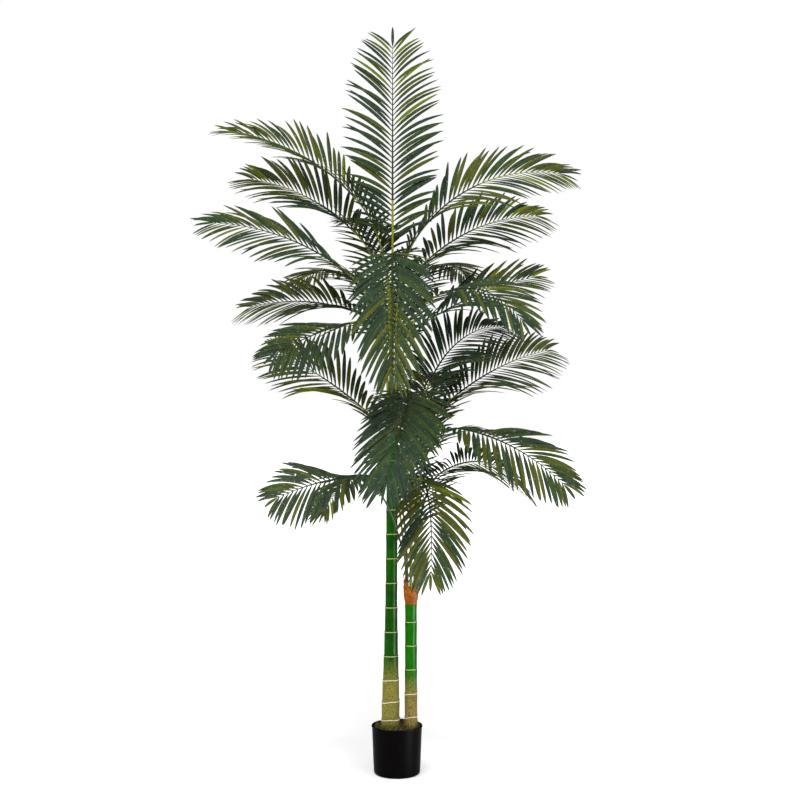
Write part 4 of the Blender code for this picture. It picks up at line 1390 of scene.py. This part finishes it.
@dataclass(frozen=True)
class Leaflet:
    """The pattern of one leaflet: a folded lens that is one unit long and one wide."""

    shares: tuple[float, ...] = (0.0, 0.05, 0.12, 0.24, 0.38, 0.54, 0.7, 0.84, 0.94)
    widths: tuple[float, ...] = (0.22, 0.34, 0.58, 0.86, 1.0, 1.0, 0.90, 0.68, 0.38)
    fold: float = 0.5
    thickness: float = 0.05
    heel: float = 0.07

    def pattern(self) -> Object:
        """Return a hidden object with the leaflet's mesh and its marks."""
        points: list[tuple[float, float, float]] = []
        for share, width in zip(self.shares, self.widths):
            half = width / 2
            drop = -self.fold * half * (1 - 0.5 * share)
            points += [(-half, share, drop), (0.0, share, self.thickness / 2)]
            points += [(half, share, drop), (0.0, share, -self.thickness / 2)]
        tip = len(points)
        points.append((0.0, 1.0, 0.0))
        faces, parts = [(0, 1, 2, 3)], [Part.UNDER.value]
        for row in range(len(self.shares)):
            base = 4 * row
            last = row == len(self.shares) - 1
            for side, (first, second) in enumerate(((1, 0), (2, 1), (3, 2), (0, 3))):
                beyond = (tip,) if last else (base + 4 + second, base + 4 + first)
                faces.append((base + first, base + second, *beyond))
                heel = not last and self.shares[row + 1] <= self.heel
                parts.append((Part.HEEL if heel else Part.UPPER if side < 2 else Part.UNDER).value)
        mesh = bpy.data.meshes.new("leaflet_pattern")
        mesh.from_pydata(points, [], faces)
        bm = bmesh.new()
        bm.from_mesh(mesh)
        bmesh.ops.recalc_face_normals(bm, faces=bm.faces)
        bm.to_mesh(mesh)
        bm.free()
        mark(mesh, "along", "FLOAT", [point[1] for point in points])
        mark(mesh, "part", "INT", parts, "FACE")
        chart = mesh.uv_layers.new(name="UVMap")
        for loop in mesh.loops:
            point = points[loop.vertex_index]
            chart.data[loop.index].uv = (point[0] + 0.5, point[1])
        mesh.shade_smooth()
        sharp = mesh.attributes.new("sharp_edge", "BOOLEAN", "EDGE")
        for edge in mesh.edges:
            first, second = (points[index] for index in edge.vertices)
            sharp.data[edge.index].value = abs(first[1] - second[1]) > 1e-6
        return add_piece("leaflet_pattern", mesh)


@dataclass
class Crown:
    """All the fronds: their stalks, ribs and leaflets.

    Attributes:
        pitch: Distance between two pairs of leaflets.
        last_length: How long the single leaflet at the tip is, as a share of its neighbours.
        leaflet_taper: How much narrower the leaflets are at the tip.
        early_breadth: Width of the leaflets on the petiole, as a share of the others.
        twist: Turn of a leaflet about itself in degrees, outwards.
        angle_play: Half the range of the angle at the rib, and so for lift_play and twist_play.
        sag_range: Range of the sag, and so for length_range and breadth_range, as multiples.
        foot_gap: Distance of a leaflet's foot from the rib's axis.
        rib_loss: Share of its thickness that the rib loses up to the tip, by the power rib_curve.
        channel: Thickness of the stalk's flattened top, as a share.
        green_rib: Shares of the blade from which the rib is dark on top, and to which below.
    """

    KINDS = {
        "reach": "FLOAT", "breadth": "FLOAT", "tone": "INT", "fresh": "INT", "facing": "QUATERNION",
        "bend": "FLOAT_VECTOR",
    }

    paints: Paints
    trees: Trees
    pitch: float = 0.0162
    leaflet_width: float = 0.0128
    last_length: float = 0.75
    leaflet_taper: float = 0.34
    early_breadth: float = 0.8
    twist: float = 14.0
    angle_play: float = 2.5
    lift_play: float = 5.0
    twist_play: float = 9.0
    sag_range: tuple[float, float] = (0.7, 1.3)
    length_range: tuple[float, float] = (0.94, 1.03)
    breadth_range: tuple[float, float] = (0.92, 1.06)
    foot_gap: float = 0.0012
    stalk_sides: int = 10
    stalk_rows: int = 46
    rib_loss: float = 0.8
    rib_curve: float = 1.3
    channel: float = 0.7
    green_rib: tuple[float, float] = (0.06, 0.45)
    seed: int = 5

    def slots(self, cane: Cane) -> dict[str, Vector]:
        """Return where each petiole of a cane starts: one in the middle, the others in two rings."""
        centre = cane.centre(cane.top)
        base = Vector((centre.x, centre.y, cane.top + SHEATH_FLOOR + 2 * GAP))
        members = [frond for frond in FRONDS if frond.cane == cane.name]
        middle = max(members, key=lambda frond: frond.crest)
        places = {middle.name: base.copy()}
        for inner, radius in ((True, INNER_RING), (False, OUTER_RING)):
            ring = [frond for frond in members if frond.inner == inner and frond != middle]
            ring.sort(key=lambda frond: frond.azimuth)
            spread = 360 / len(ring)
            offset = sum(frond.azimuth - index * spread for index, frond in enumerate(ring)) / len(ring)
            for index, frond in enumerate(ring):
                angle = radians(offset + index * spread)
                places[frond.name] = base + Vector((radius * cos(angle), radius * sin(angle), 0))
        return places

    def stalk(self, frond: Frond, start: Vector, bm: bmesh.types.BMesh) -> None:
        """Add a frond's petiole and rib as one tapered, channelled limb.

        Args:
            frond: The frond.
            start: Foot of its petiole.
            bm: The mesh that collects the stalks.
        """
        dark_from, dark_to = self.green_rib
        total = frond.petiole + frond.blade
        distances = [total * index / self.stalk_rows for index in range(self.stalk_rows + 1)]
        rows = []
        for station in frond.trace(start, distances):
            share = max(0.0, (station.distance - frond.petiole) / frond.blade)
            risen = min(1.0, station.distance / frond.petiole)
            radius = PETIOLE_RADIUS + (PETIOLE_END_RADIUS - PETIOLE_RADIUS) * risen
            radius *= 1 - self.rib_loss * share ** self.rib_curve
            row = []
            for side in range(self.stalk_sides):
                angle = tau * side / self.stalk_sides
                flat = self.channel if sin(angle) > 0.2 else 1.0
                across, over = radius * 1.1 * cos(angle), radius * flat * sin(angle)
                row.append(bm.verts.new(station.point + station.left * across + station.up * over))
            rows.append((row, share))
        for (lower, share), (upper, _) in zip(rows, rows[1:]):
            for side in range(self.stalk_sides):
                following = (side + 1) % self.stalk_sides
                face = bm.faces.new((lower[side], lower[following], upper[following], upper[side]))
                on_top = sin(tau * (side + 0.5) / self.stalk_sides) > 0.25
                dark = share > dark_from and (on_top and frond.tip != Mood.FRESH or share < dark_to)
                # The rib's dark top is its own colour; fronds so marked have their whole stalk painted dark as shade.
                face.material_index = int(dark or frond.painted_shade_stalk)
                face.smooth = True
        bm.faces.new(list(reversed(rows[0][0])))
        bm.faces.new(rows[-1][0])

    def leaflet_rows(self, frond: Frond, start: Vector) -> list[dict]:
        """Work out the root, facing, size, bend and tone of each leaflet of a frond.

        Args:
            frond: The frond.
            start: Foot of its petiole.

        Returns:
            One row for each leaflet.
        """
        chance = random.Random(f"{self.seed}-{frond.name}")
        pairs = round(frond.blade * frond.dense / self.pitch)
        pitch = frond.blade / (pairs - 0.3)
        distances = [frond.petiole + pitch * (index + 0.3) for index in range(-frond.early, pairs)]
        rows = []
        for station in frond.trace(start, distances):
            share = (station.distance - frond.petiole) / frond.blade
            for side in (-1, 1):
                rows.append(self.leaflet_row(frond, station, share, side, chance))
        end = frond.trace(start, [frond.petiole + frond.blade])[0]
        rows.append(self.leaflet_row(frond, end, 1.0, 0, chance))
        return rows

    def leaflet_row(self, frond: Frond, station: Station, share: float, side: int, chance: random.Random) -> dict:
        """Work out one leaflet.

        Args:
            frond: The frond.
            station: The rib where the leaflet stands.
            share: Place along the blade, from 0 at its foot to 1 at its tip.
            side: 1 for left, -1 for right, 0 for the last one at the tip.
            chance: The frond's random numbers.

        Returns:
            The leaflet's values by attribute name.
        """
        placed = max(0.0, share)
        angle = ROOT_ANGLE + (frond.tip_angle - ROOT_ANGLE) * placed
        angle = radians(angle + chance.uniform(-self.angle_play, self.angle_play)) * abs(side)
        lift = radians(frond.lift + chance.uniform(-self.lift_play, self.lift_play))
        outward = side * station.left * cos(lift) + station.up * sin(lift)
        lower = (station.along * cos(angle) + outward * sin(angle)).normalized()
        upper = (lower - Vector((0, 0, SAG * chance.uniform(*self.sag_range)))).normalized()
        length = frond.leaflet_length(share) * chance.uniform(*self.length_range) * (1 if side else self.last_length)
        normal = station.up - lower * station.up.dot(lower)
        normal.normalize()
        twist = self.twist * side + chance.uniform(-self.twist_play, self.twist_play)
        normal.rotate(Matrix.Rotation(radians(twist), 3, lower))
        across = lower.cross(normal)
        facing = Matrix((across, lower, normal)).transposed().to_quaternion()
        weights = [foot + (tip - foot) * placed for foot, tip in zip(frond.mood.value, frond.tip.value)]
        tone = chance.choices(list(Tone), weights=weights)[0]
        breadth = (1 - self.leaflet_taper * placed) * chance.uniform(*self.breadth_range)
        return {
            "root": station.point + lower * self.foot_gap,
            "facing": tuple(facing),
            "reach": length,
            "breadth": breadth * (self.early_breadth if share < 0 else 1.0),
            "bend": tuple((upper - lower) * length * (1 - LEAFLET_WIDEST)),
            "tone": tone.value,
            "fresh": int(chance.random() < frond.fresh),
        }

    def marked_points(self, rows: list[dict]) -> Object:
        """Return an object of loose points that carry the leaflets' values."""
        mesh = bpy.data.meshes.new("leaflet_points")
        mesh.from_pydata([row["root"] for row in rows], [], [])
        for name, kind in self.KINDS.items():
            mark(mesh, name, kind, [row[name] for row in rows])
        return add_piece("leaflet_points", mesh)

    def build(self) -> None:
        """Make the stalks of both canes and the leaflets of each part of the crown."""
        fronds = {frond.name: frond for frond in FRONDS}
        starts: dict[str, Vector] = {}
        for cane in (MAIN, SMALL):
            places = self.slots(cane)
            starts |= places
            bm = bmesh.new()
            for name, start in places.items():
                self.stalk(fronds[name], start, bm)
            name = f"stalks_{cane.name}"
            piece = add_piece(name, meshed(name, bm), [self.paints.stalk, self.paints.rib])
            fit(piece, [f"petiole_{name}" for name in places])
        pattern = Leaflet().pattern()
        for label, names in GROUPS.items():
            rows = [row for name in names for row in self.leaflet_rows(fronds[name], starts[name])]
            points = self.marked_points(rows)
            values = {"Leaflet": pattern, "Width": self.leaflet_width, "Fold": 1.0, "Bend": 1.0}
            mesh = grown(points, self.trees.leaflets, f"leaflets_{label}", values)
            discard(points)
            fit(add_piece(f"leaflets_{label}", mesh), [f"blade_{name}" for name in names])
        discard(pattern)


@dataclass(frozen=True)
class Studio:
    """A pale floor, soft lights and the camera."""

    eye: tuple[float, float, float] = (0.0085, -3.7, 1.054)
    lens: float = 58.9
    floor_half: float = 30.0
    air: float = 0.48
    mirrored_air: float = 0.1

    def camera(self) -> None:
        """Set the camera level, straight on, at half the palm's height."""
        data = bpy.data.cameras.new("camera")
        data.lens = self.lens
        data.sensor_width = 36.0
        data.clip_end = 200.0
        camera = link("camera", data)
        camera.location = self.eye
        camera.rotation_euler = (pi / 2, 0.0, 0.0)
        bpy.context.scene.camera = camera

    def lamp(self, name: str, place: Colour, aim: Colour, size: tuple[float, float], power: float) -> None:
        """Hang a rectangular lamp that shows in glossy surfaces and lights no matt ones.

        Args:
            name: Name of the lamp.
            place: Where it hangs.
            aim: The point that it faces.
            size: Its width and height.
            power: Its power in watts.
        """
        data = bpy.data.lights.new(name, "AREA")
        data.shape = "RECTANGLE"
        data.size, data.size_y = size
        data.energy = power
        lamp = link(name, data)
        lamp.location = place
        lamp.visible_diffuse = False
        lamp.rotation_euler = (Vector(aim) - Vector(place)).to_track_quat("-Z", "Y").to_euler()

    def sun(self, name: str, source: Colour, strength: float, spread: float) -> None:
        """Shine an even light over the whole stage.

        Args:
            name: Name of the lamp.
            source: Direction that it comes from.
            strength: Its irradiance.
            spread: Its angular size in degrees, which softens the shadows.
        """
        data = bpy.data.lights.new(name, "SUN")
        data.energy = strength
        data.angle = radians(spread)
        link(name, data).rotation_euler = (-Vector(source)).to_track_quat("-Z", "Y").to_euler()

    def build(self, paints: Paints) -> None:
        """Lay the floor, light the air and hang the lamps."""
        half = self.floor_half
        mesh = bpy.data.meshes.new("floor")
        corners = [(-half, -half, 0), (half, -half, 0), (half, half, 0), (-half, half, 0)]
        mesh.from_pydata(corners, [], [(0, 1, 2, 3)])
        add_piece("floor", mesh, [paints.floor])
        world = bpy.data.worlds.new("air")
        world.use_nodes = True
        wiring = Wiring(world.node_tree)
        rays = wiring.add("ShaderNodeLightPath").outputs
        backdrop = world.node_tree.nodes["Background"].inputs
        backdrop["Color"].default_value = (1.0, 1.0, 1.0, 1.0)
        hidden = wiring.ranged(rays["Is Glossy Ray"], 0.0, 1.0, self.air, self.mirrored_air)
        wiring.feed(backdrop["Strength"], wiring.ranged(rays["Is Camera Ray"], 0.0, 1.0, hidden, 1.0))
        bpy.context.scene.world = world
        bpy.context.scene.view_settings.view_transform = "Standard"
        self.sun("key", source=(-0.3, -0.85, 1.4), strength=2.3, spread=70.0)
        self.sun("spot", source=(0.12, -0.55, 0.9), strength=1.5, spread=9.0)
        self.lamp("strip_right", place=(1.4, -0.86, 0.14), aim=(0, 0, 0.07), size=(0.3, 0.22), power=115)
        self.lamp("strip_left", place=(-2.3, -1.2, 1.0), aim=(0, 0, 0.5), size=(0.3, 1.8), power=45)


def main() -> None:
    """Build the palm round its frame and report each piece."""
    logging.basicConfig(level=logging.INFO, format="%(name)s %(message)s")
    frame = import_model()
    effects = Effects()
    paints = Paints(effects)
    trees = Trees(paints)
    studio = Studio()
    studio.camera()
    Pot().build(paints, trees, frame["nodes"])
    MAIN.build(paints.cane_main, trees)
    SMALL.build(paints.cane_small, trees)
    Sheath(MAIN, seed=3, dry=True).build(paints, trees)
    Sheath(SMALL, seed=8).build(paints, trees)
    Crown(paints, trees).build()
    studio.build(paints)
    log.info("sizes written")


if __name__ == "__main__":
    main()
